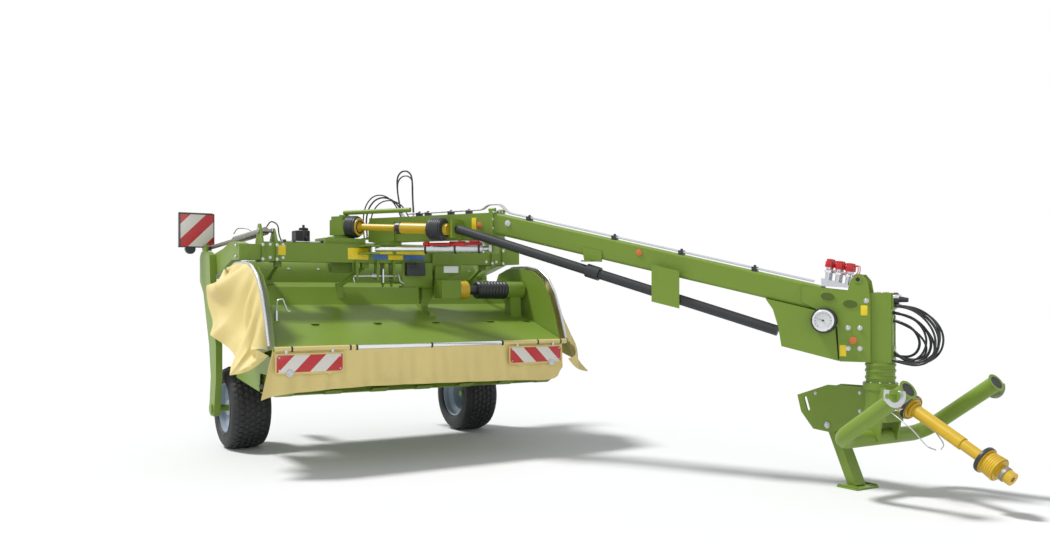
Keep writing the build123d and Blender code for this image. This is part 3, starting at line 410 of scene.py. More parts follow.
def finished(piece, name, body, finish, slot=None):
    """Names a piece, gives it its finish and lets it ride on its body."""
    piece.name = name
    piece.data.name = name
    piece.data.materials.clear()
    piece.data.materials.append(FINISH[finish])
    smooth(piece)
    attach(piece, body)
    return piece


def joined(parts):
    """The parts as one piece."""
    deselect()
    for part in parts:
        part.select_set(True)
    bpy.context.view_layer.objects.active = parts[0]
    if len(parts) > 1:
        bpy.ops.object.join()
    return parts[0]


def block(low, high, edge=0.003):
    """A bevelled block between two corners."""
    deselect()
    low, high = Vector(low), Vector(high)
    bpy.ops.mesh.primitive_cube_add(size=1, location=(low + high) / 2)
    piece = bpy.context.object
    piece.scale = [abs(length) for length in high - low]
    place_in_mesh(piece)
    bevelled(piece, edge)
    return piece


def bar_block(low, high, edge=0.003):
    """A bevelled block in the drawbar's own directions."""
    piece = block(low, high, edge)
    piece.data.transform(Matrix.Translation((PIVOT.x, PIVOT.y, 0)) @ Matrix.Rotation(BAR_TURN, 4, "Z"))
    return piece


def rod(start, end, radius, sides=20, edge=None, tip=None):
    """A round bar between two points, its rims bevelled."""
    deselect()
    start, end = Vector(start), Vector(end)
    run = end - start
    bpy.ops.mesh.primitive_cone_add(
        vertices=sides, radius1=radius, radius2=radius if tip is None else tip, depth=run.length,
        location=(start + end) / 2, rotation=run.to_track_quat("Z", "Y").to_euler())
    piece = bpy.context.object
    place_in_mesh(piece)
    bevelled(piece, edge or radius * 0.12, 1)
    return piece


def bolt(place, way, size=0.012):
    """A hexagon head on its washer, on a face that looks along way."""
    place, way = Vector(place), Vector(way).normalized()
    head = rod(place, place + way * size * 0.75, size, 6, size * 0.12)
    washer = rod(place, place + way * size * 0.22, size * 1.35, 14, size * 0.06)
    return joined([head, washer])


def bolts(name, places, way, body, size):
    return finished(joined([bolt(place, way, size) for place in places]), name, body, *ZINC)


def drawn(points):
    """A line of edges from point to point, left in edit mode with all of it selected."""
    deselect()
    bpy.ops.mesh.primitive_plane_add(size=0.01)
    piece = bpy.context.object
    bpy.ops.object.mode_set(mode="EDIT")
    bpy.ops.mesh.select_all(action="SELECT")
    bpy.ops.mesh.merge(type="CENTER")
    bpy.ops.transform.translate(value=points[0])
    for before, after in zip(points, points[1:]):
        bpy.ops.mesh.extrude_region_move(TRANSFORM_OT_translate={"value": after - before})
    bpy.ops.mesh.select_all(action="SELECT")
    return piece


def shell(profile, centre, axis, steps=48):
    """A profile of (radius, along) spun round an axis, with its faces outwards."""
    piece = drawn([Vector((radius, 0, along)) for radius, along in profile])
    bpy.ops.mesh.spin(steps=steps, angle=math.tau, center=(0, 0, 0), axis=(0, 0, 1))
    bpy.ops.mesh.select_all(action="SELECT")
    bpy.ops.mesh.remove_doubles(threshold=0.00005)
    bpy.ops.mesh.normals_make_consistent(inside=False)
    bpy.ops.object.mode_set(mode="OBJECT")
    piece.rotation_euler = Vector(axis).normalized().to_track_quat("Z", "Y").to_euler()
    piece.location = centre
    place_in_mesh(piece)
    return piece


def turned(profile, centre, axis, steps=48, pole=None):
    """A solid turned piece: the profile closed at both ends of the axis, the far end at pole's height."""
    first, last = profile[0][1], profile[-1][1]
    return shell([(CORE, first), *profile, (CORE, last if pole is None else pole)], centre, axis, steps)


def ring(profile, centre, axis, steps=48):
    """A turned ring, its profile closed on itself."""
    return shell([*profile, profile[0]], centre, axis, steps)


def plate(outline, thick, edge):
    """A flat plate from a list of points in a plane, thickened along its normal."""
    piece = drawn(outline)
    bpy.ops.mesh.edge_face_add()
    bpy.ops.mesh.extrude_region_move(TRANSFORM_OT_translate={"value": Vector(thick)})
    bpy.ops.mesh.select_all(action="SELECT")
    bpy.ops.mesh.normals_make_consistent(inside=False)
    bpy.ops.object.mode_set(mode="OBJECT")
    bevelled(piece, edge, 1)
    return piece


def curve_through(name, kind, points, depth, rounding):
    """A curve of one spline on a list of points."""
    data = bpy.data.curves.new(name, "CURVE")
    data.dimensions = "3D"
    spline = data.splines.new(kind)
    spline.points.add(len(points) - 1)
    for knot, point in zip(spline.points, points):
        knot.co = (*point, 1)
    data.bevel_depth = depth
    data.bevel_resolution = rounding
    piece = bpy.data.objects.new(name, data)
    bpy.context.scene.collection.objects.link(piece)
    return piece


def route_curve(name, points, diameter):
    """A smooth hose through its route's control points; its thickness is in the knots' radius."""
    piece = curve_through(name, "NURBS", points, 0.5, 4)
    spline = piece.data.splines[0]
    for knot in spline.points:
        knot.radius = diameter
    spline.order_u = 3
    spline.use_endpoint_u = True
    spline.resolution_u = 10
    piece.data.use_fill_caps = True
    return piece


def centre_line(curve):
    """The points of a curve's own line."""
    depth = curve.data.bevel_depth
    curve.data.bevel_depth = 0
    line = bpy.data.meshes.new_from_object(curve)
    places = [vertex.co.copy() for vertex in line.vertices]
    bpy.data.meshes.remove(line)
    curve.data.bevel_depth = depth
    return places


def curve_length(curve):
    """The length of a curve's own line."""
    places = centre_line(curve)
    return sum((after - before).length for before, after in zip(places, places[1:]))


def smooth_line(points, resolution):
    """The points of the smooth line through control points."""
    guide = route_curve("guide", points, GUIDE_THICKNESS)
    guide.data.resolution_u = resolution
    places = centre_line(guide)
    removed(guide)
    return places


def pipe(points, diameter, bend=0.04, steps=4):
    """A pipe or wire of straight runs with rounded bends, as a mesh."""
    points = [Vector(point) for point in points]
    rounded = [points[0]]
    for before, here, after in zip(points, points[1:], points[2:]):
        reach = min(bend, (before - here).length * 0.45, (after - here).length * 0.45)
        start = here + (before - here).normalized() * reach
        end = here + (after - here).normalized() * reach
        for step in range(steps + 1):
            t = step / steps
            rounded.append(start * (1 - t) ** 2 + here * 2 * t * (1 - t) + end * t ** 2)
    rounded.append(points[-1])
    piece = curve_through("pipe", "POLY", rounded, diameter / 2, 3)
    piece.data.use_fill_caps = True
    chosen(piece)
    bpy.ops.object.convert(target="MESH")
    return bpy.context.object


def copied(piece, matrix):
    """A copy with its own mesh, moved by a matrix."""
    twin = piece.copy()
    twin.data = piece.data.copy()
    bpy.context.scene.collection.objects.link(twin)
    twin.data.transform(matrix)
    return twin


# ---------------------------------------------------------------- operators
class MowerOperator(bpy.types.Operator):
    """What the mower's operators share."""
    bl_options = {"REGISTER", "UNDO"}

    def execute(self, context):
        self.build(context.scene.mower_paint, context.scene.mower_sizes)
        return {"FINISHED"}


NODE_FINISH = {
    "rim_": "rim", "tyre_": "tyre", "driveline": "black plastic and hole shade", "driveline_hangers": "green",
    "cross_shaft_guard": "black plastic and hole shade", "pressure_gauge": "black plastic and hole shade",
    "drive_shaft": "yellow plastic", "pto_shaft": "yellow plastic", "swing_cylinder_barrel": "zinc",
    "swing_cylinder_rod": "chrome", "valve_block": "black paint", "lift_cylinder": "steel",
    "hose_couplers": "zinc", "side_guard": "zinc", "warning_boards": "green",
    "cutter_disc": "black paint", "front_curtain": "cloth", "side_curtain": "cloth", "hose_loop": "hose",
    "steering_rod": "green",
}


class MOWER_OT_finishes(MowerOperator):
    """Gives every part of the frame its paint, rubber, plastic or metal"""
    bl_idname = "mower.finishes"
    bl_label = "Finishes of the frame"

    def build(self, colours, sizes):
        make_finishes(colours)
        for name, node in frame["nodes"].items():
            matches = [key for key in NODE_FINISH if name.startswith(key)]
            finish = NODE_FINISH[max(matches, key=len)] if matches else "green"
            node.data.materials.clear()
            node.data.materials.append(FINISH[finish])


HOSE_ROUTES = {
    "hose_loop_pivot_low": (0.016, (
        (0.235, -0.045, 2.235), (0.190, -0.050, 2.330), (0.110, -0.056, 2.405), (0.005, -0.062, 2.440),
        (-0.100, -0.066, 2.420), (-0.178, -0.068, 2.340), (-0.208, -0.068, 2.235), (-0.205, -0.066, 2.135),
        (-0.196, -0.066, 2.044),
    )),
    "hose_loop_pivot_tall": (0.016, (
        (0.300, 0.020, 2.235), (0.294, 0.020, 2.340), (0.287, 0.018, 2.460), (0.289, 0.014, 2.632),
        (0.237, 0.011, 2.690), (0.163, 0.008, 2.690), (0.111, 0.006, 2.632), (0.118, 0.004, 2.500),
        (0.138, 0.002, 2.400), (0.160, 0.000, 2.320), (0.168, -0.002, 2.235),
    )),
    "hose_loop_head_upper": (0.020, (
        (4.690, -0.045, 1.405), (4.800, -0.050, 1.396), (4.905, -0.058, 1.345), (4.985, -0.066, 1.260),
        (5.020, -0.072, 1.155), (4.995, -0.074, 1.045), (4.910, -0.070, 0.975), (4.800, -0.062, 0.972),
        (4.690, -0.055, 1.000),
    )),
    "hose_loop_head_middle": (0.020, (
        (4.690, 0.000, 1.350), (4.785, 0.000, 1.335), (4.875, -0.004, 1.280), (4.940, -0.008, 1.200),
        (4.960, -0.012, 1.105), (4.920, -0.014, 1.015), (4.835, -0.012, 0.975), (4.745, -0.008, 1.010),
        (4.690, -0.006, 1.070),
    )),
    "hose_loop_head_lower": (0.020, (
        (4.690, 0.050, 1.290), (4.770, 0.054, 1.268), (4.842, 0.058, 1.210), (4.875, 0.060, 1.125),
        (4.845, 0.062, 1.042), (4.765, 0.060, 1.012), (4.690, 0.054, 1.032),
    )),
}

# the other hoses beside each free one: how far ahead, left and up
BUNDLES = {
    "hose_loop_pivot_low": ((0.036, 0.024, -0.030), (-0.030, -0.010, 0.028)),
    "hose_loop_pivot_tall": ((-0.012, 0.024, -0.045),),
    "hose_loop_head_upper": ((0.028, 0.024, 0.010), (-0.020, -0.022, -0.012), (0.006, 0.010, 0.030)),
    "hose_loop_head_middle": ((0.022, 0.023, -0.030), (-0.030, -0.020, 0.020)),
    "hose_loop_head_lower": ((0.050, -0.022, -0.040),),
}


class MOWER_OT_hoses(MowerOperator):
    """Makes the free hoses over the pivot and in front of the head"""
    bl_idname = "mower.hoses"
    bl_label = "Free hoses"

    def build(self, colours, sizes):
        for name, (diameter, route) in HOSE_ROUTES.items():
            points = [on_bar(*place) for place in route]
            hose = route_curve(name + "_line", points, diameter)
            hose.data.materials.append(FINISH["hose"])
            length = curve_length(hose)
            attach(hose, "drawbar")
            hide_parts(name)
            strands = self.strands(hose, name, diameter)

    def strands(self, hose, name, diameter):
        """The other hoses of the bundle, bowed away from the free one in its middle."""
        line = centre_line(hose)
        pieces = []
        for index, (ahead, left, up) in enumerate(BUNDLES[name]):
            moved = []
            for step, place in enumerate(line):
                bow = math.sin(math.pi * (step / (len(line) - 1)))
                forward = ahead * bow if "head" in name else ahead
                moved.append(place + BAR_AHEAD * forward + BAR_LEFT * left + UP * (up * bow))
            strand = curve_through(f"{name}_strand_{index}", "POLY", moved, diameter * 0.40, 4)
            strand.data.materials.append(FINISH["hose"])
            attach(strand, "drawbar")
            pieces.append(strand)
        return pieces


class MOWER_OT_tyres(MowerOperator):
    """Models the wide block-tread tyres"""
    bl_idname = "mower.tyres"
    bl_label = "Tyres"

    def build(self, colours, sizes):
        low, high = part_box("tyre_left")
        radius = (high.z - low.z) / 2
        half = (high.x - low.x) / 2
        deep = sizes.lug_height
        side_line = (
            (0.240, half - 0.040), (0.252, half - 0.012), (0.272, half - 0.002), (0.276, half - 0.006),
            (0.300, half), (0.304, half - 0.004), (0.330, half - 0.003), (radius - 0.042, half - 0.012),
            (radius - 0.026, half - 0.028), (radius - deep - 0.003, half - 0.058),
            (radius - deep, half - 0.095),
        )
        profile = [*side_line, *((r, -x) for r, x in reversed(side_line))]
        profile += [(0.262, -half + 0.09), (0.262, half - 0.09)]
        tyre = ring(profile, WHEEL_LEFT, ACROSS, 72)
        lugs = []
        count = sizes.lug_count
        long = math.tau * radius / count * 0.68
        # rows of lugs: place across the tyre, width, shift along the row in lugs, skew in degrees
        rows = (
            (0.0, 0.034, 0.0, 20), (0.052, 0.036, 0.5, -24), (-0.052, 0.036, 0.5, 24),
            (0.103, 0.038, 0.0, 16), (-0.103, 0.038, 0.0, -16), (0.148, 0.040, 0.5, 0),
            (-0.148, 0.040, 0.5, 0),
        )
        for across, width, shift, skew in rows:
            on_shoulder = abs(across) >= 0.12
            drop = 0.016 if on_shoulder else 0.0
            tilt = math.copysign(math.radians(24), across) if on_shoulder else 0
            lug = block((-width / 2, -long / 2, -0.008), (width / 2, long / 2, deep))
            lug.data.transform(Matrix.Rotation(tilt, 4, "Y") @ Matrix.Rotation(math.radians(skew), 4, "Z"))
            lug.data.transform(Matrix.Translation((across, 0, radius - deep - drop - 0.0006)))
            for step in range(count):
                turn = Matrix.Rotation(math.tau * (step + shift) / count, 4, "X")
                lugs.append(copied(lug, Matrix.Translation(WHEEL_LEFT) @ turn))
            removed(lug)
        tyre = joined([tyre] + lugs)
        other = copied(tyre, Matrix.Translation(WHEEL_RIGHT - WHEEL_LEFT))
        for wheel, word in ((tyre, "left"), (other, "right")):
            finished(wheel, f"tread_tyre_{word}", f"wheel_{word}", "tyre", "tyre_rubber")
            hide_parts(f"tyre_{word}")


class MOWER_OT_wheels(MowerOperator):
    """Adds the nuts, the black discs of painted shade in the holes, and the lips of the rims"""
    bl_idname = "mower.wheels"
    bl_label = "Wheel nuts and rims"

    @staticmethod
    def spoke(share):
        """A way out from the hub, at a share of a full turn."""
        turn = math.tau * share
        return Vector((0, math.cos(turn), math.sin(turn)))

    def build(self, colours, sizes):
        for side, word in SIDES:
            centre = WHEEL_LEFT if side > 0 else WHEEL_RIGHT
            disc_face, nut_circle, hole_circle = 0.0465, 0.105, 0.150
            outer = ACROSS * (side * disc_face)
            nuts = []
            for step in range(8):
                place = centre + outer + self.spoke(step / 8) * nut_circle
                nuts.append(bolt(place, outer, 0.014))
            finished(joined(nuts), f"wheel_nuts_{word}", f"wheel_{word}", *ZINC)
            # the rim's holes are black discs on its face: painted shade standing for the openings
            holes = []
            for step in range(8):
                place = centre + self.spoke((step + 0.5) / 8) * hole_circle
                holes.append(rod(place + outer * 0.97, place + outer * 1.03, 0.019, 16, 0.0004))
            finished(joined(holes), f"rim_hole_shade_{word}", f"wheel_{word}", "black plastic and hole shade")
            lip = ((0.234, -0.150), (0.243, -0.156), (0.240, -0.162), (0.228, -0.156), (0.226, -0.146))
            rims = [ring([(r, way * x) for r, x in lip], centre, ACROSS, 64) for way in (1, -1)]
            finished(joined(rims), f"rim_lips_{word}", f"wheel_{word}", "rim", "rim_paint")


def ribbed(start, way, length, first, last, ribs, depth=0.005, wall=0.004):
    """An open bellows or ribbed cone between two radii, with its inner wall."""
    outer = []
    for index in range(ribs * 4 + 1):
        share = index / (ribs * 4)
        radius = first + (last - first) * share
        swell = (0, 0.75, 1, 0.75)[index % 4]
        outer.append((radius - depth + depth * swell, length * share))
    inner = [(last - depth - wall, length), (first - depth - wall, 0.0)]
    return ring(outer + inner, start, way, 40)


def chain(name, path, body):
    """Links along a short path, every other one turned."""
    link = 0.022
    deselect()
    bpy.ops.mesh.primitive_torus_add(
        major_segments=14, minor_segments=6, major_radius=link * 0.36, minor_radius=0.0028)
    one = bpy.context.object
    one.data.transform(Matrix.Diagonal((1.5, 1, 1, 1)))
    links = []
    points = smooth_line(path, 24)
    walked, turn = 0.0, 0
    for before, after in zip(points, points[1:]):
        walked += (after - before).length
        if walked >= link * 0.72:
            aim = (after - before).to_track_quat("X", "Z").to_matrix().to_4x4()
            quarter = Matrix.Rotation(math.pi / 2 * turn, 4, "X")
            links.append(copied(one, Matrix.Translation(after) @ aim @ quarter))
            walked, turn = 0.0, 1 - turn
    removed(one)
    return finished(joined(links), name, body, *ZINC)


SHAFT_WAY = Vector(JOINT["drive_shaft_telescope"]["axis"])
SHAFT_START = Vector((*JOINT["gearbox_swivel_turn"]["pos_m"][:2], 2.150))


def on_shaft(along):
    """A point on the telescoping shaft's axis."""
    return SHAFT_START + SHAFT_WAY * along


class MOWER_OT_shafts(MowerOperator):
    """Adds the ribbed rubber guards and collars of the drive shafts, and the tractor shaft's chain"""
    bl_idname = "mower.shafts"
    bl_label = "Shaft guards"

    def build(self, colours, sizes):
        self.telescoping_shaft()
        self.cross_shaft()
        self.tractor_shaft()

    def telescoping_shaft(self):
        """The rubber boots and the band of the shaft over the beam."""
        rear = joined([
            ribbed(on_shaft(0.100), SHAFT_WAY, 0.090, 0.106, 0.108, 5, 0.004),
            ring([(0.102, 0.0), (0.100, 0.014), (0.084, 0.030), (0.062, 0.038), (0.050, 0.040),
                  (0.050, 0.030)], on_shaft(0.188), SHAFT_WAY, 40),
        ])
        finished(rear, "shaft_boot_rear", "gearbox_swivel", *GUARD)
        front = joined([
            ring([(0.056, 0.0), (0.070, 0.004), (0.092, 0.016), (0.104, 0.034), (0.104, 0.042),
                  (0.052, 0.042)], on_shaft(1.000), SHAFT_WAY, 40),
            ribbed(on_shaft(1.040), SHAFT_WAY, 0.110, 0.108, 0.110, 5, 0.004),
            shell([(0.102, 0.0), (0.104, 0.012), (0.090, 0.022), (CORE, 0.026)], on_shaft(1.148),
                  SHAFT_WAY, 40),
        ])
        finished(front, "shaft_boot_front", "shaft_slider", *GUARD)
        band = joined([rod(on_shaft(0.655), on_shaft(0.705), 0.0565, 32),
                       rod(on_shaft(0.640), on_shaft(0.660), 0.054, 32)])
        finished(band, "shaft_band", "shaft_slider", *GUARD)

    def cross_shaft(self):
        """The bellows and the yellow sleeve round the shaft across the hood."""
        low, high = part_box("cross_shaft_guard")
        low.y = high.y = (low.y + high.y) / 2
        low.z = high.z = (low.z + high.z) / 2
        bellows = ribbed(low + ACROSS * 0.225, ACROSS, high.x - low.x - 0.225, 0.089, 0.094, 9, 0.011)
        collars = [rod(start, start + ACROSS * 0.018, 0.088, 40)
                   for start in (low + ACROSS * 0.212, high - ACROSS * 0.020)]
        finished(joined([bellows] + collars), "cross_shaft_bellows", "chassis", *GUARD)
        sleeve = ribbed(low + ACROSS * 0.004, ACROSS, 0.10, 0.086, 0.092, 3, 0.004)
        finished(sleeve, "cross_shaft_sleeve", "chassis", "yellow plastic", "yellow_guard")

    def tractor_shaft(self):
        """The guard cones, collars, lock and chain of the shaft to the tractor."""
        pto = Vector(JOINT["pto_shaft_lift"]["pos_m"])
        pto.x = NECK.x
        drop = math.radians(27.4)
        along = Vector((0, -math.cos(drop), -math.sin(drop)))
        cones = joined([
            ribbed(pto + along * 0.050, along, 0.092, 0.088, 0.080, 5, 0.005),
            ribbed(pto + along * 0.826, along, 0.100, 0.080, 0.090, 6, 0.005),
            ring([(0.052, 0.0), (0.060, 0.004), (0.060, 0.016), (0.052, 0.020), (0.048, 0.010)],
                 pto + along * 0.180, along, 40),
        ])
        finished(cones, "pto_cones", "pto", "yellow plastic", "yellow_guard")
        rounded = [(0.080, 0.0), (0.094, 0.001), (0.097, 0.008), (0.097, 0.024), (0.094, 0.031),
                   (0.080, 0.033)]
        collars = joined([ring(rounded, pto + along * start, along) for start in (0.140, 0.791)])
        finished(collars, "pto_collars", "pto", *GUARD)
        button = pto + along * 0.990
        lock = joined([
            ring([(0.049, 0.0), (0.054, 0.002), (0.054, 0.026), (0.049, 0.028), (0.0485, 0.014)],
                 pto + along * 0.955, along, 40),
            rod(button + ACROSS * 0.046, button + ACROSS * 0.064, 0.012),
        ])
        finished(lock, "pto_lock", "pto", "steel", "zinc_steel")
        chain("pto_chain", [
            pto + along * 0.160 + Vector((-0.095, 0, 0)), pto + along * 0.10 + Vector((-0.130, 0, -0.07)),
            pto + along * -0.02 + Vector((-0.128, 0, -0.06)),
        ], "pto")


def sampled(points, count):
    """Evenly spaced points along the smooth line through an outline's control points."""
    walked = smooth_line(points, 16)
    lengths = [0.0]
    for before, after in zip(walked, walked[1:]):
        lengths.append(lengths[-1] + (after - before).length)
    placed, leg = [], 0
    for step in range(count):
        goal = lengths[-1] * step / (count - 1)
        while leg < len(walked) - 2 and lengths[leg + 1] < goal:
            leg += 1
        run = lengths[leg + 1] - lengths[leg]
        placed.append(walked[leg].lerp(walked[leg + 1], (goal - lengths[leg]) / run if run else 0))
    return placed


CLOTH_THICKNESS = 0.0024
HELD_WITHIN = 0.012  # how near to a held place a vertex has to be
HEM_ROWS = 2
HEM_THICKNESS = 0.0052


def cloth_grid(name, top, hem, rows, bulge, gathers, depth, kept=1.0):
    """A cloth between its fixed edge and its hem, pushed out by bulge, with gathers.

    The hem is straight where kept is 1.
    """
    deselect()
    columns = len(top)
    bpy.ops.mesh.primitive_grid_add(x_subdivisions=columns - 1, y_subdivisions=rows - 1, size=1)
    cloth = bpy.context.object
    cloth.name = name
    for vertex in cloth.data.vertices:
        across = round((vertex.co.x + 0.5) * (columns - 1))
        down = 0.5 - vertex.co.y
        start, end = top[across], hem[across]
        wave = math.sin(math.tau * gathers * across / (columns - 1) + 1.7 * down)
        fold = wave * depth * down * (1 - kept * down)
        vertex.co = start.lerp(end, down) + Vector(bulge) * (math.sin(math.pi * down) + fold * 3)
    return cloth


def pinned(cloth, places):
    """A vertex group that holds the vertices near some places."""
    group = cloth.vertex_groups.new(name="held")
    held = [vertex.index for vertex in cloth.data.vertices
            if any((vertex.co - place).length < HELD_WITHIN for place in places)]
    group.add(held, 1.0, "REPLACE")
    return group.name


def hung(cloth, places, frames, loose, stiffness=18.0, bend=4.0):
    """Lets gravity hang the cloth from the places that hold it."""
    fabric = cloth.modifiers.new("hanging", "CLOTH")
    fabric.settings.vertex_group_mass = pinned(cloth, places)
    fabric.settings.quality = 7
    fabric.settings.mass = 0.55
    fabric.settings.tension_stiffness = stiffness
    fabric.settings.compression_stiffness = stiffness
    fabric.settings.shear_stiffness = stiffness * 0.5
    fabric.settings.bending_stiffness = bend
    fabric.settings.air_damping = 2.0
    fabric.settings.shrink_min = -loose
    fabric.point_cache.frame_end = frames
    for moment in range(1, frames + 1):
        bpy.context.scene.frame_set(moment)
    apply_all(cloth)
    bpy.context.scene.frame_set(1)


def thickened(cloth, thickness):
    """Gives a cloth its thickness, half to each side."""
    thick = cloth.modifiers.new("cloth", "SOLIDIFY")
    thick.thickness = thickness
    thick.offset = 0
    apply_all(cloth)
    return cloth


def hemmed(cloth, name, body, columns):
    """The doubled hem: a thicker copy of the cloth's last rows."""
    hem = chosen(copied(cloth, Matrix.Identity(4)))
    bpy.ops.object.mode_set(mode="EDIT")
    bpy.ops.mesh.select_all(action="DESELECT")
    bpy.ops.object.mode_set(mode="OBJECT")
    for face in hem.data.polygons:
        face.select = all(index // columns >= HEM_ROWS for index in face.vertices)
    bpy.ops.object.mode_set(mode="EDIT")
    bpy.ops.mesh.delete(type="FACE")
    bpy.ops.object.mode_set(mode="OBJECT")
    return finished(thickened(hem, HEM_THICKNESS), name, body, "cloth")


class MOWER_OT_curtains(MowerOperator):
    """Hangs the cloth guards at the front and at both sides"""
    bl_idname = "mower.curtains"
    bl_label = "Cloth guards"

    def build(self, colours, sizes):
        self.front()
        for side, word in SIDES:
            self.side(side, word)

    def front(self):
        columns, rows = 150, 18
        top = sampled([at(-1.452, -0.908, 1.024), at(0, -0.908, 1.024), at(1.388, -0.908, 1.024)], columns)
        hem = sampled([
            at(-1.560, -0.930, 0.640), at(-1.560, -0.930, 0.640), at(-1.42, -0.905, 0.672),
            at(-1.0, -0.900, 0.695), at(-0.60, -0.896, 0.708), at(-0.10, -0.899, 0.702),
            at(0.40, -0.897, 0.696), at(0.90, -0.900, 0.688), at(1.20, -0.902, 0.668),
            at(1.33, -0.905, 0.700), at(1.40, -0.906, 0.790), at(1.40, -0.906, 0.790),
        ], columns)
        cloth = cloth_grid("front_cloth", top, hem, rows, (0, 0.018, 0), 9, 0.36, 0.45)
        hung(cloth, top, 22, 0.012)
        seam = hemmed(cloth, "front_cloth_hem", "flap", columns)
        thickened(cloth, CLOTH_THICKNESS)
        finished(cloth, "front_cloth", "flap", "cloth", "cream_cloth")
        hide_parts("front_curtain")

    def side(self, side, word):
        columns, rows = 64, 26
        out = side * 1.484
        arc = [(-0.872, 1.030), (-0.862, 1.060), (-0.775, 1.290), (-0.665, 1.500), (-0.540, 1.648),
               (-0.370, 1.735), (-0.150, 1.765), (0.150, 1.765), (0.300, 1.728)]
        top = sampled([at(out, y, z) for y, z in arc], columns)
        if side < 0:
            line = ((-1.480, -0.885, 0.990), (-1.560, -0.870, 0.915), (-1.770, -0.800, 0.835),
                    (-1.770, -0.800, 0.835), (-1.660, -0.640, 1.010), (-1.690, -0.520, 1.075),
                    (-1.800, -0.280, 1.140), (-1.800, -0.280, 1.140), (-1.722, -0.160, 1.270),
                    (-1.742, 0.000, 1.420), (-1.752, 0.060, 1.560), (-1.752, 0.060, 1.560),
                    (-1.600, 0.200, 1.660), (-1.486, 0.300, 1.700))
        else:
            line = ((1.480, -0.885, 0.860), (1.620, -0.850, 0.780), (1.775, -0.800, 0.715),
                    (1.775, -0.800, 0.715), (1.815, -0.760, 0.860), (1.700, -0.600, 0.960),
                    (1.720, -0.480, 1.040), (1.790, -0.260, 1.130), (1.790, -0.260, 1.130),
                    (1.716, -0.140, 1.260), (1.735, 0.020, 1.420), (1.745, 0.070, 1.560),
                    (1.600, 0.210, 1.660), (1.486, 0.300, 1.700))
        hem = sampled([at(*place) for place in line], columns)
        cloth = cloth_grid(f"side_cloth_{word}", top, hem, rows, (side * 0.075, -0.030, 0.045), 3, 0.55)
        corners = [at(*line[index]) for index in ((2, 6, 10) if side < 0 else (2, 7, 11))]
        nearest = [min(hem, key=lambda place: (place - corner).length) for corner in corners]
        hung(cloth, top + [hem[0], hem[-1]] + nearest, 14, 0.004, 30.0, 60.0)
        seam = hemmed(cloth, f"side_cloth_hem_{word}", f"guard_{word}", columns)
        thickened(cloth, CLOTH_THICKNESS)
        finished(cloth, f"side_cloth_{word}", f"guard_{word}", "cloth", "cream_cloth")
        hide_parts(f"side_curtain_{word}")


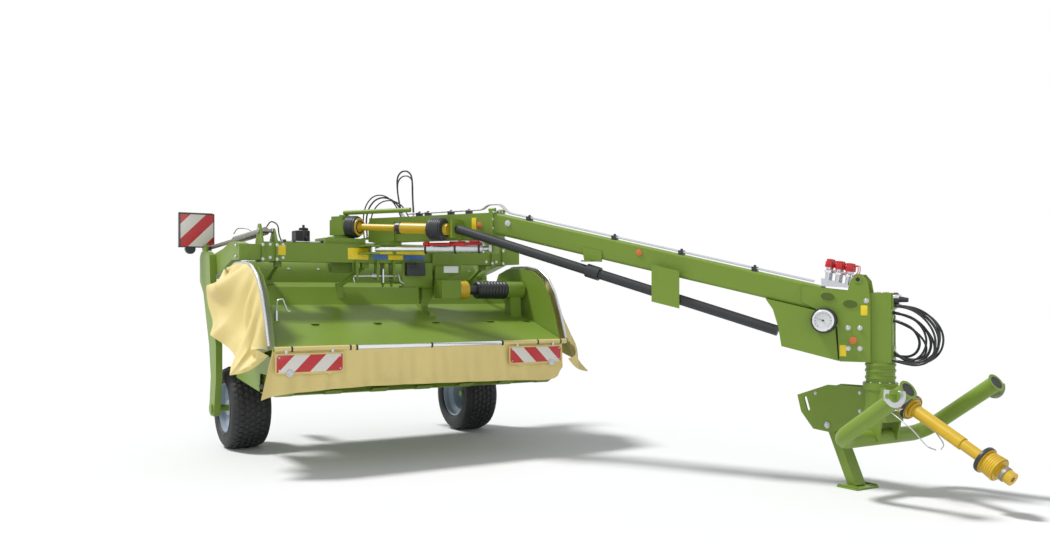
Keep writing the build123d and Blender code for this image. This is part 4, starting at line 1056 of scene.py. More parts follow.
class MOWER_OT_boards(MowerOperator):
    """Makes the striped warning boards, their lamps and reflectors"""
    bl_idname = "mower.boards"
    bl_label = "Warning boards"

    def build(self, colours, sizes):
        for side, word in SIDES:
            self.front_board(side, word, colours, sizes)
        for side, word in SIDES:
            self.rear_board(side, word, colours, sizes)

    def front_board(self, side, word, colours, sizes):
        """A striped board on the flap, with its backing, reflector, bolts and arms."""
        centre = at(1.072 if side > 0 else -1.144, -0.938, 0.918)
        half, tall = 0.282, 0.0705
        FINISH["stripe front " + word] = striped(
            f"front stripes {word}", centre, side, colours.stripe, sizes.stripe_width)
        panel = block(centre - Vector((half, 0.002, tall)), centre + Vector((half, 0.002, tall)), 0.001)
        finished(panel, f"front_board_{word}", "flap", "stripe front " + word, "board_sheet")
        # the backing: cut lower corners and a rounded tab under each end, one of them with the reflector
        wide, high, cut, tab = half + 0.014, tall + 0.014, 0.022, half * 0.62
        corners = [(-wide, high), (-wide, -high + cut), (-wide + cut * 0.3, -high + cut * 0.3),
                   (-wide + cut, -high)]
        for x in (-tab, tab):
            corners += [(x + 0.030 * math.sin(turn), -high - 0.022 * math.cos(turn))
                        for turn in (-1.35, -0.8, -0.27, 0.27, 0.8, 1.35)]
        corners += [(wide - cut, -high), (wide - cut * 0.3, -high + cut * 0.3), (wide, -high + cut),
                    (wide, high)]
        backing = plate([centre + Vector((x, 0.010, z)) for x, z in corners], (0, -0.009, 0), 0.0015)
        finished(backing, f"front_board_backing_{word}", "flap", "cream plate", "cream_cloth")
        lens_at = centre + Vector((side * tab, -0.004, -high + 0.006))
        lens = turned([(0.026, -0.006), (0.031, -0.002), (0.031, 0.004)], lens_at, REARWARDS, 32)
        finished(lens, f"front_reflector_{word}", "flap", "clear")
        studs = [centre + Vector((x, -0.002, z))
                 for x in (-half + 0.02, half - 0.02) for z in (-tall + 0.018, tall - 0.018)]
        bolts(f"front_board_bolts_{word}", studs, -REARWARDS, "flap", 0.005)
        arms = [block(centre + Vector((x - 0.012, 0.008, tall - 0.01)),
                      centre + Vector((x + 0.012, 0.034, 0.112)), 0.002)
                for x in (-0.2, 0.2)]
        finished(joined(arms), f"front_board_arms_{word}", "flap", *ZINC)

    def rear_board(self, side, word, colours, sizes):
        """A boxed board striped on both faces, with its lamps and reflector."""
        centre = at(side * 1.565, 1.215, 2.125)
        half = 0.165
        low = centre - Vector((half, 0.011, half))
        high = centre + Vector((half, -0.003, half))
        name = "stripe rear " + word
        width = sizes.stripe_width * 1.08
        FINISH[name] = striped(f"rear stripes {word}", centre, side, colours.stripe, width)
        panel = block(low, high, 0.0015)
        # the box round both sheets
        grow = Vector((0.005, 0.003, 0.005))
        deep = low.y + 0.054
        rim = [block(Vector((low.x, low.y, z)) - grow, Vector((high.x, deep, z)) + grow, 0.002)
               for z in (low.z, high.z)]
        rim += [block(Vector((x, low.y, low.z)) - grow, Vector((x, deep, high.z)) + grow, 0.002)
                for x in (low.x, high.x)]
        finished(panel, f"rear_board_{word}", "chassis", name, "board_sheet")
        back = block(centre + Vector((-half, 0.0465, -half)), centre + Vector((half, 0.0485, half)), 0.0005)
        finished(back, f"rear_board_back_{word}", "chassis", name, "board_sheet")
        finished(joined(rim), f"rear_board_edge_{word}", "chassis", *GUARD)
        for name, place, steps, finish, profile, pole in (
                ("front_lamp", at(side * 1.625, 1.2105, 1.940), 36, GUARD,
                 ((0.044, 0.0), (0.0495, 0.004), (0.0495, 0.046)), None),
                ("lamp_body", centre + Vector((side * -0.09, 0.040, -0.10)), 36, GUARD,
                 ((0.040, 0.0), (0.052, 0.010), (0.055, 0.030)), None),
                ("lamp_lens", centre + Vector((side * -0.09, 0.070, -0.10)), 36, ("red lens",),
                 ((0.049, 0.0), (0.046, 0.010), (0.030, 0.016)), 0.018),
                ("rear_reflector", centre + Vector((side * 0.09, 0.048, -0.10)), 32, ("red lens",),
                 ((0.038, 0.0), (0.038, 0.008), (0.030, 0.011)), None)):
            finished(turned(profile, place, REARWARDS, steps, pole), f"{name}_{word}", "chassis", *finish)


BEAM_FACE = 0.0195  # the beam's front face, behind its line


def label(name, right, left, low, high, finish):
    """A blank label on the beam's front face, between two places across and two heights."""
    film = block(at(right, BEAM_FACE - 0.001, low), at(left, BEAM_FACE, high), FILM_EDGE)
    return finished(film, name, "chassis", finish)


class MOWER_OT_frame_details(MowerOperator):
    """Adds the labels, bolts, lock rod, panel, levers, valves and hoses of the portal frame"""
    bl_idname = "mower.frame_details"
    bl_label = "Frame details"

    def build(self, colours, sizes):
        self.labels()
        for side, word in SIDES:
            self.end_bolts(side, word)
        self.cylinder_lock()
        self.control_panel()
        self.shut_off_levers()
        self.beam_valves()
        for side, word in SIDES:
            self.lift_hoses(side, word)

    def labels(self):
        """The blank films on the beam."""
        label("label_beam", -0.442, -0.232, 1.822, 1.932, "yellow film")
        for index, (right, left, low, high, finish) in enumerate((
                (-0.185, 0.020, 1.880, 1.945, "yellow film"), (-0.185, -0.035, 1.826, 1.874, "blue film"),
                (-0.025, 0.130, 1.826, 1.870, "yellow film"), (0.140, 0.360, 1.826, 1.874, "blue film"),
                (0.060, 0.370, 1.882, 1.960, "yellow film"))):
            label(f"label_beam_{index + 2}", right, left, low, high, finish)
        label("label_end", -1.135, -1.045, 1.850, 1.940, "yellow film")

    def end_bolts(self, side, word):
        """The bolts and pins at one end of the beam, and the bolts of the arch behind it."""
        places = [at(side * x, -0.0005, z) for x in (1.262, 1.132) for z in (1.81, 1.94)]
        places += [at(side * x, BEAM_FACE, z) for x in (1.19, 1.07) for z in (1.825, 1.945)]
        bolts(f"lug_bolts_{word}", places, -REARWARDS, "chassis", 0.011)
        pins = []
        for x in (1.272, 1.142):
            for y, z, radius in ((0.105, 2.073, 0.026), (0.060, 1.895, 0.018)):
                pins.append(rod(at(side * x, y, z), at(side * (x + 0.010), y, z), radius, 28, 0.002))
        finished(joined(pins), f"lug_pins_{word}", "chassis", *ZINC)
        arch = ((0.10, 1.93), (0.10, 1.83), (1.08, 1.80), (1.08, 1.70), (1.0, 1.75))
        places = [at(side * 1.480, y, z) for y, z in arch]
        bolts(f"arch_bolts_{word}", places, ACROSS * side, "chassis", 0.012)

    def cylinder_lock(self):
        """The red lock along the swing cylinder, and the barrel's bands."""
        eye = Vector(JOINT["swing_cylinder_turn"]["pos_m"])
        run = Vector(JOINT["swing_cylinder_stroke"]["axis"]).normalized()
        if run.x > 0:
            run = -run
        lift = Vector((-0.010, -0.020, 0.044))
        lock = joined([
            rod(eye + run * 0.090 + lift, eye + run * 0.600 + lift, 0.014, 20),
            rod(eye + run * 0.600 + lift, eye + run * 0.655 + lift, 0.028, 20, 0.002, 0.020),
            rod(eye + run * 0.250 + lift, eye + run * 0.400 + lift, 0.026, 8, 0.003),
        ])
        finished(lock, "lock_rod", "swing_barrel", "red plastic", "coupler_red")
        bands = [ring([(0.041, 0.0), (0.0455, 0.002), (0.0455, 0.020), (0.041, 0.022)], eye + run * share,
                      run, 32) for share in (0.10, 0.33, 0.615)]
        finished(joined(bands), "cylinder_bands", "swing_barrel", *GUARD)

    def control_panel(self):
        """The panel below the beam with its control box, and the gearbox's blank plate."""
        panel = joined([
            block(at(0.100, -0.030, 1.560), at(0.430, -0.014, 1.800), 0.003),
            block(at(0.100, -0.030, 1.555), at(0.430, 0.060, 1.572), 0.003),
        ])
        finished(panel, "control_panel", "chassis", *GREEN)
        box = joined([
            block(at(0.125, -0.085, 1.672), at(0.325, -0.030, 1.800), 0.006),
            block(at(0.145, -0.092, 1.735), at(0.305, -0.084, 1.752), 0.003),
            rod(at(0.225, -0.092, 1.790), at(0.225, -0.084, 1.790), 0.012, 20),
        ])
        finished(box, "control_box", "chassis", *GUARD)
        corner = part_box("centre_gearbox")[0]
        low = Vector((corner.x + 0.020, corner.y - 0.0015, 1.700))
        high = Vector((corner.x + 0.180, corner.y, 1.765))
        finished(block(low, high, FILM_EDGE), "plate_blank", "chassis", "white film")

    def shut_off_levers(self):
        """The levers on their lugs under the beam."""
        lugs = [block(at(x - 0.011, -0.020, 1.625), at(x + 0.011, 0.060, 1.815), 0.003)
                for x in (-0.360, -0.150, 0.020)]
        finished(joined(lugs), "lever_lugs", "chassis", *GREEN)
        levers = joined([
            rod(at(-0.390, -0.004, 1.662), at(0.052, -0.004, 1.668), 0.013, 20),
            rod(at(-0.215, -0.004, 1.665), at(-0.165, -0.004, 1.665), 0.026, 20, 0.003),
            pipe([at(0.045, -0.004, 1.668), at(0.062, -0.030, 1.690), at(0.070, -0.050, 1.610),
                  at(0.108, -0.060, 1.596)], 0.014, 0.02),
            pipe([at(-0.385, -0.004, 1.662), at(-0.405, -0.030, 1.655), at(-0.400, -0.045, 1.600)],
                 0.013, 0.02),
            rod(at(-0.100, -0.030, 1.600), at(-0.100, -0.030, 1.735), 0.011, 16),
        ])
        finished(levers, "shut_off_levers", "chassis", *ZINC)

    def beam_valves(self):
        """The valve canister and the pipes on top of the beam."""
        canister = joined([
            turned([(0.052, 0.0), (0.060, 0.008), (0.060, 0.150), (0.052, 0.158)],
                   at(-0.800, 0.245, 1.940), UP, 36, pole=0.160),
            turned([(0.036, 0.0), (0.044, 0.004), (0.044, 0.020)], at(-0.800, 0.245, 2.100), UP, 36,
                   pole=0.026),
            rod(at(-0.800, 0.245, 2.120), at(-0.800, 0.245, 2.150), 0.012, 16),
            rod(at(-0.800, 0.185, 2.020), at(-0.800, 0.120, 2.020), 0.018, 16),
        ])
        finished(canister, "valve_canister", "chassis", "black paint", "valve_black")
        lines = []
        for y, z, end in ((0.150, 1.984, -0.28), (0.165, 1.986, -0.28), (0.135, 1.983, 0.40)):
            lines.append(pipe([at(-1.10, y, z - 0.001), at(-0.75, y, z), at(end, y, z)], 0.012, 0.05))
        finished(joined(lines), "beam_pipes", "chassis", *ZINC)
        clamps = [block(at(x - 0.012, 0.120, 1.970), at(x + 0.012, 0.180, 2.000), 0.002)
                  for x in (-1.02, -0.93, -0.66)]
        finished(joined(clamps), "beam_pipe_clamps", "chassis", "black plastic and hole shade")

    def lift_hoses(self, side, word):
        """The two hoses of a lift cylinder."""
        thick = ((1.19, 0.13, 2.11), (1.16, 0.10, 2.165), (1.08, 0.14, 2.14), (1.06, 0.17, 2.04),
                 (1.04, 0.16, 1.985))
        thin = ((1.36, 0.62, 2.065), (1.33, 0.60, 2.120), (1.27, 0.50, 2.115), (1.23, 0.42, 2.075))
        hoses = [
            pipe([at(side * x, y, z) for x, y, z in thick], 0.012, 0.06, 6),
            pipe([at(side * x, y, z) for x, y, z in thin], 0.008, 0.04, 5),
        ]
        finished(joined(hoses), f"lift_hoses_{word}", "chassis", "hose", "black_hose")


class MOWER_OT_hood_details(MowerOperator):
    """Adds the rail, hinges, bolts, crown and crank handle of the hood"""
    bl_idname = "mower.hood_details"
    bl_label = "Hood details"

    def build(self, colours, sizes):
        self.front_rail()
        self.flap_hinges()
        self.crown()
        self.latch()

    def front_rail(self):
        """The rail over the front cloth: cream ends, bright middle, dark clips."""
        rail = at(0, -0.900, 1.035)
        for name, right, left, radius, finish in (
                ("rail_cream_right", -1.440, -0.732, 0.0230, "cloth"),
                ("rail_bright", -0.730, 0.710, 0.0205, "chrome"),
                ("rail_cream_left", 0.712, 1.440, 0.0230, "cloth")):
            tube = rod(rail + ACROSS * right, rail + ACROSS * left, radius, 32, 0.002)
            finished(tube, name, "flap", finish)
        clips = []
        for x in (-1.30, -0.790, -0.731, -0.02, 0.711, 1.10, 1.36):
            clips.append(ring([(0.019, 0.0), (0.0245, 0.001), (0.0245, 0.017), (0.019, 0.018)],
                              rail + ACROSS * x, ACROSS, 24))
        finished(joined(clips), "rail_clips", "flap", "black plastic and hole shade")

    def flap_hinges(self):
        """The flap's hinges, and the bolts on its slope."""
        hinge = at(0, -0.325, 1.222)
        knuckles = []
        for x in (-1.32, -0.90, -0.30, 0.30, 0.90, 1.32):
            knuckles.append(rod(hinge + ACROSS * (x - 0.045), hinge + ACROSS * (x + 0.045), 0.009, 16))
            knuckles.append(block(hinge + Vector((x - 0.035, -0.060, 0.000)),
                                  hinge + Vector((x + 0.035, -0.004, 0.006)), 0.002))
        finished(joined(knuckles), "flap_hinges", "flap", *GREEN)
        slope = math.atan2(0.182, 0.570)
        up = Vector((0, -math.sin(slope), math.cos(slope)))
        heads = []
        for x in (-1.38, -0.70, 0.70, 1.38):
            for share in (0.10, 0.50, 0.88):
                place = at(x, -0.330 - 0.560 * share, 1.221 - 0.560 * share * math.tan(slope))
                heads.append(bolt(place + up * 0.0005, up, 0.008))
        finished(joined(heads), "flap_bolts", "flap", *ZINC)

    def crown(self):
        """The raised crown over the conditioner, with its bolted front edge."""
        profile = ((0.450, 1.575), (0.520, 1.720), (0.600, 1.815), (0.800, 1.815), (0.930, 1.680),
                   (0.960, 1.450), (0.700, 1.500))
        half = 1.225
        folded = plate([at(-half, y, z) for y, z in profile], (2 * half, 0, 0), 0.004)
        finished(folded, "hood_crown", "chassis", *GREEN)
        front = (at(0, 0.600, 1.815) - at(0, 0.520, 1.720)).normalized()
        places = [at(x, 0.535, 1.738) for x in (-1.15, -0.85, -0.55, -0.25, 0.25, 0.55, 0.85, 1.15)]
        bolts("crown_bolts", places, front.cross(Vector((-1, 0, 0))), "chassis", 0.009)

    def latch(self):
        """The latch's crank handle on its bracket."""
        crank = at(-1.300, -0.520, 1.340)
        bent = ((0, 0, 0), (0, -0.020, 0.100), (0.050, -0.022, 0.110), (0.085, -0.030, 0.010),
                (0.110, -0.030, 0))
        handle = joined([
            pipe([crank + Vector(place) for place in bent], 0.013, 0.016),
            rod(crank - UP * 0.08, crank + UP * 0.01, 0.016, 20),
        ])
        finished(handle, "latch_crank", "chassis", *ZINC)
        holder = joined([
            block(crank + Vector((-0.055, -0.030, -0.100)), crank + Vector((0.030, 0.030, -0.080)), 0.003),
            block(crank + Vector((-0.055, -0.030, -0.100)), crank + Vector((-0.043, 0.030, 0.040)), 0.003),
        ])
        finished(holder, "latch_bracket", "chassis", *GREEN)


class MOWER_OT_drawbar_details(MowerOperator):
    """Adds the pipes, clamps, bolts, reflectors, labels, gauge and couplers of the drawbar"""
    bl_idname = "mower.drawbar_details"
    bl_label = "Drawbar details"

    @staticmethod
    def top(x):
        """Height of the sloping beam's upper side, which falls away from the knuckle."""
        knuckle_x, knuckle_top, fall = 1.250, 2.240, math.radians(13.2)
        return knuckle_top - (x - knuckle_x) * math.tan(fall)

    @staticmethod
    def half_width(x):
        """Half the width of the beam, or of the head past 4 m."""
        return 0.0955 if x < 4 else 0.1095

    def build(self, colours, sizes):
        self.pipes()
        self.knuckle()
        self.reflectors()
        self.head()
        self.gauge()
        self.couplers()
        self.head_hoses()

    def pipes(self):
        """The three pipes along the beam and their clamps."""
        top = self.top
        route = (
            (0.300, 2.262), (1.130, 2.268), (1.190, 2.312), (1.320, 2.310), (1.400, top(1.400) + 0.024),
            (2.700, top(2.700) + 0.022), (4.120, top(4.120) + 0.022),
        )
        lines = []
        for y, lift in ((-0.070, 0.0), (-0.052, 0.0), (-0.034, 0.004)):
            lines.append(pipe([on_bar(x, y, z + lift) for x, z in route], 0.013, 0.035))
        finished(joined(lines), "drawbar_pipes", "drawbar", *ZINC)
        clamps = []
        for x, low in ((0.42, 2.235), (0.52, 2.235), (0.78, 2.235), (0.98, 2.235), (1.62, None),
                       (2.45, None), (3.05, None), (3.66, None)):
            z = top(x) if low is None else low
            clamps.append(bar_block((x - 0.020, -0.088, z - 0.006), (x + 0.020, -0.016, z + 0.034), 0.004))
            clamps.append(bar_block((x - 0.010, -0.060, z + 0.030), (x + 0.010, -0.044, z + 0.048), 0.003))
        finished(joined(clamps), "pipe_clamps", "drawbar", "black plastic and hole shade")

    def knuckle(self):
        """The bolts and pins of the bolted flanges."""
        heads = []
        for y in (-0.100, 0.100):
            for z in (2.005, 2.090, 2.170, 2.240):
                heads.append(bolt(on_bar(1.2705, y, z), BAR_AHEAD, 0.012))
        for y in (-0.06, 0.0, 0.06):
            heads.append(bolt(on_bar(1.2705, y, 2.2475), BAR_AHEAD, 0.0095))
        finished(joined(heads), "knuckle_bolts", "drawbar", *ZINC)
        lug = [rod(on_bar(1.215, y, 2.262), on_bar(1.285, y, 2.262), 0.016, 20) for y in (-0.085, 0.085)]
        finished(joined(lug), "knuckle_pins", "drawbar", *GREEN)

    def reflectors(self):
        """Round reflectors on both sides of the beam, and blank labels on its right side."""
        for index, (x, z, finish) in enumerate((
                (1.420, 2.130, "clear"), (2.690, 1.840, "orange"), (1.120, 2.125, "orange"),
                (4.420, 1.140, "orange"))):
            for way in (-1, 1):
                start = on_bar(x, way * self.half_width(x), z)
                lens = turned([(0.028, 0.0), (0.028, 0.006), (0.022, 0.009)], start, BAR_LEFT * way, 32)
                finished(lens, f"beam_reflector_{index}_{'l' if way > 0 else 'r'}", "drawbar", finish)
        for index, (x, z, high) in enumerate((
                (1.060, 2.060, 0.135), (4.347, 1.020, 0.085), (4.500, 1.330, 0.075))):
            face = -self.half_width(x)
            film = bar_block((x - 0.024, face - 0.001, z), (x + 0.024, face, z + high), FILM_EDGE)
            finished(film, f"bar_label_{index}", "drawbar", "yellow film")

    def head(self):
        """The head's oval recesses, each a darker green disc of painted shade inside a raised rim, its bolts,
        castings and eyes with painted shade in their holes.
        """
        for index, (x, z, turn) in enumerate(((4.235, 1.470, 0.20), (4.400, 1.415, 0.12))):
            for way in (-1, 1):
                start = on_bar(x, way * 0.1088, z)
                # the inner disc is darker green: painted shade standing for the depth of the recess
                for share, name, finish in ((1.0, "rim", "green"), (0.84, "recess", "painted recess shade")):
                    oval = turned([(0.052 * share, 0.0), (0.050 * share, 0.003 / share)], (0, 0, 0),
                                  REARWARDS, 40)
                    oval.data.transform(Matrix.Diagonal((1.25, 1, 0.72, 1)))
                    oval.data.transform(Matrix.Rotation(turn, 4, "Y"))
                    oval.data.transform(Matrix.Diagonal((1, way, 1, 1)))
                    if way < 0:
                        oval.data.flip_normals()
                    oval.data.transform(Matrix.Translation(start) @ Matrix.Rotation(BAR_TURN, 4, "Z"))
                    finished(oval, f"head_{name}_{index}_{'l' if way > 0 else 'r'}", "drawbar", finish)
        studs = []
        for x, z in ((4.385, 1.235), (4.470, 1.235), (4.385, 1.080), (4.470, 1.080), (4.515, 1.440)):
            for way in (-1, 1):
                studs.append(bolt(on_bar(x, way * 0.1092, z), BAR_LEFT * way, 0.014))
        for x, y in ((4.580, 0.055), (4.640, 0.055), (4.580, -0.055), (4.640, -0.055)):
            studs.append(bolt(on_bar(x, y, 1.5005), UP, 0.012))
        finished(joined(studs), "head_bolts", "drawbar", *ZINC)
        rings = [ring([(0.103, 0.0), (0.112, 0.004), (0.112, 0.020), (0.103, 0.024)], on_bar(4.600, 0, z),
                      UP, 48) for z in (0.852, 0.905, 0.948)]
        finished(joined(rings), "neck_rings", "drawbar", *GREEN)
        casting = [bar_block((4.560, y - 0.006, 0.990), (4.697, y + 0.006, 1.330), 0.003)
                   for y in (-0.078, 0.078)]
        casting.append(bar_block((4.688, -0.085, 1.375), (4.704, 0.085, 1.500), 0.004))
        casting.append(bar_block((4.688, -0.060, 0.985), (4.700, 0.085, 1.100), 0.004))
        finished(joined(casting), "head_casting", "drawbar", *GREEN)
        fittings = [rod(on_bar(4.700, y, z), on_bar(4.742, y, z), 0.017, 6, 0.001)
                    for y, z in ((-0.078, 1.470), (0.052, 1.470), (0.052, 1.400))]
        finished(joined(fittings), "head_fittings", "drawbar", *ZINC)
        # the eyes' holes are black discs: painted shade standing for the openings
        for name, start, end, radius, sides, edge, finish in (
                ("lifting_eyes", 0.1100, 0.1130, 0.030, 28, 0.001, GREEN),
                ("lifting_eye_holes", 0.1132, 0.1140, 0.016, 24, 0.0003, ("black paint",))):
            eyes = [rod(on_bar(4.455, way * start, 1.600), on_bar(4.455, way * end, 1.600),
                        radius, sides, edge) for way in (-1, 1)]
            finished(joined(eyes), name, "drawbar", *finish)

    def gauge(self):
        """The pressure gauge: bezel, ribbed rim, dial, ticks and needle."""
        gauge = on_bar(4.215, -0.180, 1.290)
        bezel = ring([(0.066, 0.0), (0.080, 0.0), (0.082, 0.006), (0.076, 0.012), (0.068, 0.010)], gauge,
                     -BAR_LEFT, 56)
        finished(bezel, "gauge_bezel", "drawbar", "chrome", "zinc_steel")
        ribs = [(0.094 + 0.003 * (step % 2), -0.004 - 0.010 * step) for step in range(5)]
        rim = ring([(0.080, 0.0), *ribs, (0.080, -0.050)], gauge, -BAR_LEFT, 64)
        finished(rim, "gauge_rim", "drawbar", *GUARD)
        face = rod(gauge, gauge - BAR_LEFT * 0.003, 0.067, 48, 0.0005)
        finished(face, "gauge_face", "drawbar", "dial")
        ticks = []
        for step in range(13):
            turn = math.radians(-135 + 22.5 * step)
            spoke = BAR_AHEAD * math.sin(turn) + UP * math.cos(turn)
            base = gauge - BAR_LEFT * 0.0032
            ticks.append(rod(base + spoke * 0.052, base + spoke * 0.063, 0.0014, 6, 0.0002))
        needle = math.radians(-70)
        spoke = BAR_AHEAD * math.sin(needle) + UP * math.cos(needle)
        hub = gauge - BAR_LEFT * 0.006
        ticks.append(rod(hub - spoke * 0.012, hub + spoke * 0.046, 0.0022, 8, 0.0003, 0.0008))
        ticks.append(rod(gauge - BAR_LEFT * 0.002, gauge - BAR_LEFT * 0.009, 0.007, 16, 0.001))
        finished(joined(ticks), "gauge_marks", "drawbar", "black plastic and hole shade")

    def couplers(self):
        """Red caps with their straps on the six parked couplers."""
        caps, straps, collars = [], [], []
        for index in range(6):
            x = 4.215 + 0.075 * (index // 2)
            y = -0.042 + 0.084 * (index % 2)
            foot = on_bar(x, y, self.top(x) + 0.030)
            tip = on_bar(x + 0.020, y, self.top(x) + 0.180)
            way = (tip - foot).normalized()
            caps.append(turned([(0.030, 0.0), (0.032, 0.006), (0.030, 0.040), (0.024, 0.050),
                                (0.024, 0.062)], tip - way * 0.028, way, 28, pole=0.066))
            caps.append(rod(tip + way * 0.004 + BAR_LEFT * 0.02, tip + way * 0.020 + BAR_LEFT * 0.046,
                            0.011, 14))
            collars.append(ring([(0.020, 0.0), (0.029, 0.002), (0.029, 0.020), (0.023, 0.026),
                                 (0.020, 0.026)], tip - way * 0.072, way, 28))
            straps.append(pipe([tip + way * up + BAR_AHEAD * ahead for up, ahead in (
                (0.010, 0.028), (0.020, 0.058), (-0.040, 0.066), (-0.070, 0.026))], 0.007, 0.02))
        finished(joined(caps + straps), "coupler_caps", "drawbar", "red plastic", "coupler_red")
        finished(joined(collars), "coupler_collars", "drawbar", "chrome", "zinc_steel")

    def head_hoses(self):
        """The power plug, and the ferrules of the free hoses."""
        plug = joined([
            turned([(0.048, 0.0), (0.050, 0.010), (0.050, 0.034), (0.040, 0.044)],
                   on_bar(4.690, -0.020, 1.452), BAR_AHEAD, 36, pole=0.046),
            rod(on_bar(4.730, -0.020, 1.452), on_bar(4.800, -0.020, 1.446), 0.024, 24, None, 0.016),
        ])
        finished(plug, "power_plug", "drawbar", *GUARD)
        ferrules = []
        for diameter, route in HOSE_ROUTES.values():
            for start, after in (route[:2], route[:-3:-1]):
                start, after = on_bar(*start), on_bar(*after)
                way = (after - start).normalized()
                ferrules.append(rod(start, start + way * 0.045, diameter * 0.62, 20))
                ferrules.append(rod(start, start + way * 0.014, diameter * 0.85, 6, 0.001))
        finished(joined(ferrules), "hose_ferrules", "drawbar", *ZINC)


class MOWER_OT_hitch_details(MowerOperator):
    """Adds the guide plates, pins, bolts and shaft rest of the hitch, and the edges of the stand's foot"""
    bl_idname = "mower.hitch_details"
    bl_label = "Hitch details"

    def build(self, colours, sizes):
        for side, word in SIDES:
            self.link_guide(side, word)
        self.yoke_ends()
        self.hitch_bolts()
        self.shaft_rest()
        self.foot()

    def link_guide(self, side, word):
        """A lower link's guide plate and linch pin."""
        pin = Vector(MOUNT[f"lower_link_pin_{word}"]["pos_m"])
        inner = pin - Vector((side * 0.043, 0, 0))
        outline = []
        for step in range(19):
            turn = math.radians(20 - 12.2 * step)
            outline.append(inner + Vector((0, math.cos(turn) * 0.088, math.sin(turn) * 0.088 + 0.006)))
        guide = plate(outline, (side * 0.006, 0, 0), 0.001)
        finished(guide, f"link_guide_{word}", "hitch", *ZINC)
        hole = pin + ACROSS * (side * 0.022)
        linch = joined([
            rod(hole - UP * 0.030, hole + UP * 0.034, 0.0045, 12),
            pipe([hole + Vector((0, y, z)) for y, z in (
                (0.002, 0.034), (0.040, 0.030), (0.042, -0.032), (0.002, -0.036))], 0.004, 0.018),
        ])
        finished(linch, f"linch_pin_{word}", "hitch", *ZINC)

    def yoke_ends(self):
        """The rings at the ends of the yoke's tubes, and a black disc of painted shade for the hollow inside each.
        """
        rise = Vector((0, -0.610, 0.430)).normalized()
        for side, word in SIDES:
            end = on_hitch(side * 0.500, -0.610, 0.845)
            lip = ring([(0.046, 0.0), (0.0705, 0.0), (0.0705, 0.004), (0.0505, 0.004), (0.0500, -0.006),
                        (0.046, -0.006)], end + rise * 0.0005, rise, 40)
            finished(lip, f"yoke_end_ring_{word}", "hitch", *GREEN)
            # a black disc at the tube's mouth: painted shade standing for the dark inside of the tube
            hollow = rod(end + rise * 0.0004, end + rise * 0.0016, 0.0508, 36, 0.0003)
            finished(hollow, f"yoke_end_hollow_shade_{word}", "hitch", "black paint")

    def hitch_bolts(self):
        """The bolts of the turntable under the neck and of the cheek plates."""
        heads = []
        for step in range(10):
            turn = math.tau * step / 10
            place = on_hitch(math.cos(turn) * 0.112, math.sin(turn) * 0.112, 0.8263)
            heads.append(bolt(place, UP, 0.009))
        finished(joined(heads), "neck_bolts", "drawbar", *ZINC)
        cheek = []
        for side in (-1, 1):
            for y, z in ((0.12, 0.74), (0.12, 0.60), (0.55, 0.70), (0.42, 0.46)):
                cheek.append(bolt(on_hitch(side * 0.0855, y, z), (side, 0, 0), 0.011))
            cheek.append(bolt(on_hitch(side * 0.0885, 0.430, 0.460), (side, 0, 0), 0.020))
        finished(joined(cheek), "cheek_bolts", "hitch", *ZINC)

    def shaft_rest(self):
        """The wire rest of the drive shaft."""
        rest = []
        for side in (-1, 1):
            rest.append(pipe([
                on_hitch(side * 0.085, -0.090, 0.690), on_hitch(side * 0.110, -0.150, 0.640),
                on_hitch(side * 0.112, -0.360, 0.520), on_hitch(side * 0.100, -0.470, 0.410),
                on_hitch(side * 0.030, -0.490, 0.385),
            ], 0.010, 0.05))
        finished(joined(rest), "shaft_rest", "hitch", *ZINC)

    def foot(self):
        """The edges and bolts of the stand's foot."""
        foot = joined([
            block(on_hitch(-0.120, 0.120, 0.0142), on_hitch(-0.112, 0.300, 0.028), 0.002),
            block(on_hitch(0.112, 0.120, 0.0142), on_hitch(0.120, 0.300, 0.028), 0.002),
            *(bolt(on_hitch(x, y, 0.0142), UP, 0.010) for y in (0.150, 0.270) for x in (-0.085, 0.085)),
        ])
        finished(foot, "foot_edges", "stand", *GREEN)


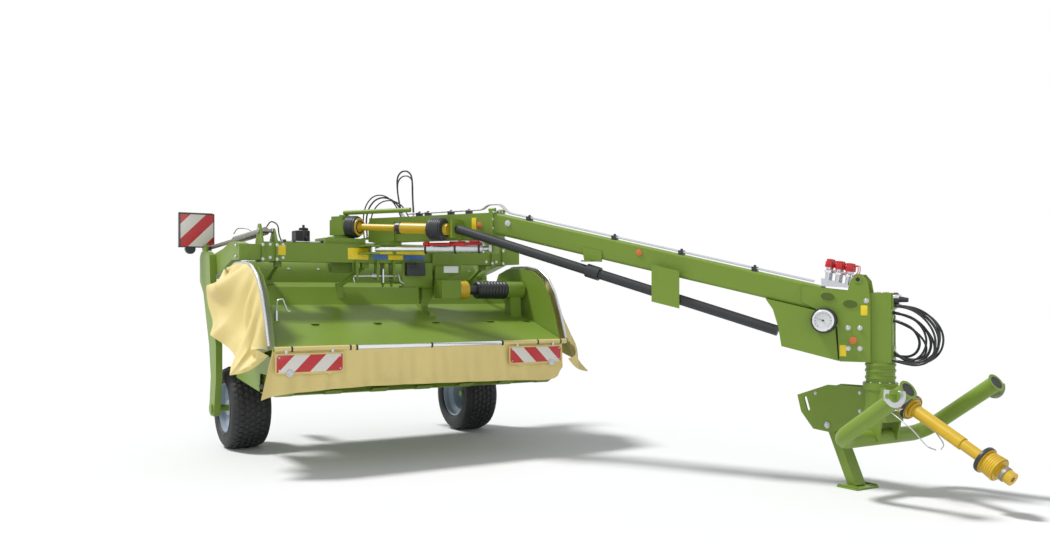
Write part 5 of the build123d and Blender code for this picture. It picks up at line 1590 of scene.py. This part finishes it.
class MOWER_OT_stage(MowerOperator):
    """Sets the floor, the light and the camera"""
    bl_idname = "mower.stage"
    bl_label = "Stage and camera"

    def build(self, colours, sizes):
        deselect()
        bpy.ops.mesh.primitive_plane_add(size=90, location=(0, 0, -0.001))
        floor = bpy.context.object
        floor.name = "stage_floor"
        shading = Shading("studio floor")
        tone = shading.mixed(shading.noise(0.3, 2.0), (0.78, 0.78, 0.78, 1), (0.80, 0.80, 0.80, 1))
        shading.finish(Base_Color=tone, Roughness=0.9)
        floor.data.materials.append(shading.material)

        # a soft sky that lights the mower, white where the camera or a gloss looks at it
        world = bpy.data.worlds.new("studio")
        bpy.context.scene.world = world
        world.use_nodes = True
        kit = NodeKit(world.node_tree)
        sky = kit.nodes["Background"]
        sky.inputs["Color"].default_value = (0.93, 0.96, 1.0, 1)
        sky.inputs["Strength"].default_value = 0.42
        white = kit.add("ShaderNodeBackground", {}, (1, 1, 1, 1), 1.0)
        rays = kit.add("ShaderNodeLightPath", {}).socket.node.outputs
        through = (Wire(kit, rays["Is Camera Ray"]) + Wire(kit, rays["Is Transmission Ray"])).clamped()
        looked_at = (through + Wire(kit, rays["Is Glossy Ray"])).clamped()
        blend = kit.add("ShaderNodeMixShader", {}, looked_at, Wire(kit, sky.outputs[0]), white)
        kit.feed(kit.nodes["World Output"].inputs["Surface"], blend)

        for name, energy, angle, travel in (
                ("key", 3.0, 11, (0.38, -0.35, -0.86)), ("fill", 0.45, 45, (0.30, 0.85, -0.35))):
            lamp = bpy.data.lights.new(name, "SUN")
            lamp.energy = energy
            lamp.angle = math.radians(angle)
            sun = bpy.data.objects.new(name, lamp)
            sun.rotation_euler = Vector(travel).to_track_quat("-Z", "Y").to_euler()
            bpy.context.scene.collection.objects.link(sun)

        eye = bpy.data.cameras.new("view")
        eye.lens = 32.96
        eye.sensor_width = 36
        eye.shift_y = 0.0187
        eye.clip_end = 200
        camera = bpy.data.objects.new("view", eye)
        camera.location = at(-3.825, -8.654, 1.486)
        camera.rotation_euler = Euler((math.radians(90), 0, math.radians(-31.75)))
        bpy.context.scene.collection.objects.link(camera)
        bpy.context.scene.camera = camera
        bpy.context.scene.view_settings.view_transform = "Standard"


class MOWER_PT_panel(bpy.types.Panel):
    """Lists the steps of the mower's finish"""
    bl_idname = "MOWER_PT_panel"
    bl_label = "Mower"
    bl_space_type = "VIEW_3D"
    bl_region_type = "UI"
    bl_category = "Mower"

    def draw(self, context):
        for step in STEPS:
            self.layout.operator(step.bl_idname)


STEPS = (
    MOWER_OT_finishes, MOWER_OT_stage, MOWER_OT_hoses, MOWER_OT_tyres, MOWER_OT_wheels, MOWER_OT_shafts,
    MOWER_OT_curtains, MOWER_OT_boards, MOWER_OT_frame_details, MOWER_OT_hood_details,
    MOWER_OT_drawbar_details, MOWER_OT_hitch_details,
)
CLASSES = (MowerPaint, MowerSizes, *STEPS, MOWER_PT_panel)


def register():
    for item in CLASSES:
        bpy.utils.register_class(item)
    bpy.types.Scene.mower_paint = bpy.props.PointerProperty(type=MowerPaint)
    bpy.types.Scene.mower_sizes = bpy.props.PointerProperty(type=MowerSizes)


def unregister():
    del bpy.types.Scene.mower_sizes
    del bpy.types.Scene.mower_paint
    for item in reversed(CLASSES):
        bpy.utils.unregister_class(item)


def main():
    register()
    for step in STEPS:
        family, action = step.bl_idname.split(".")
        getattr(getattr(bpy.ops, family), action)()


if __name__ == "__main__":
    main()
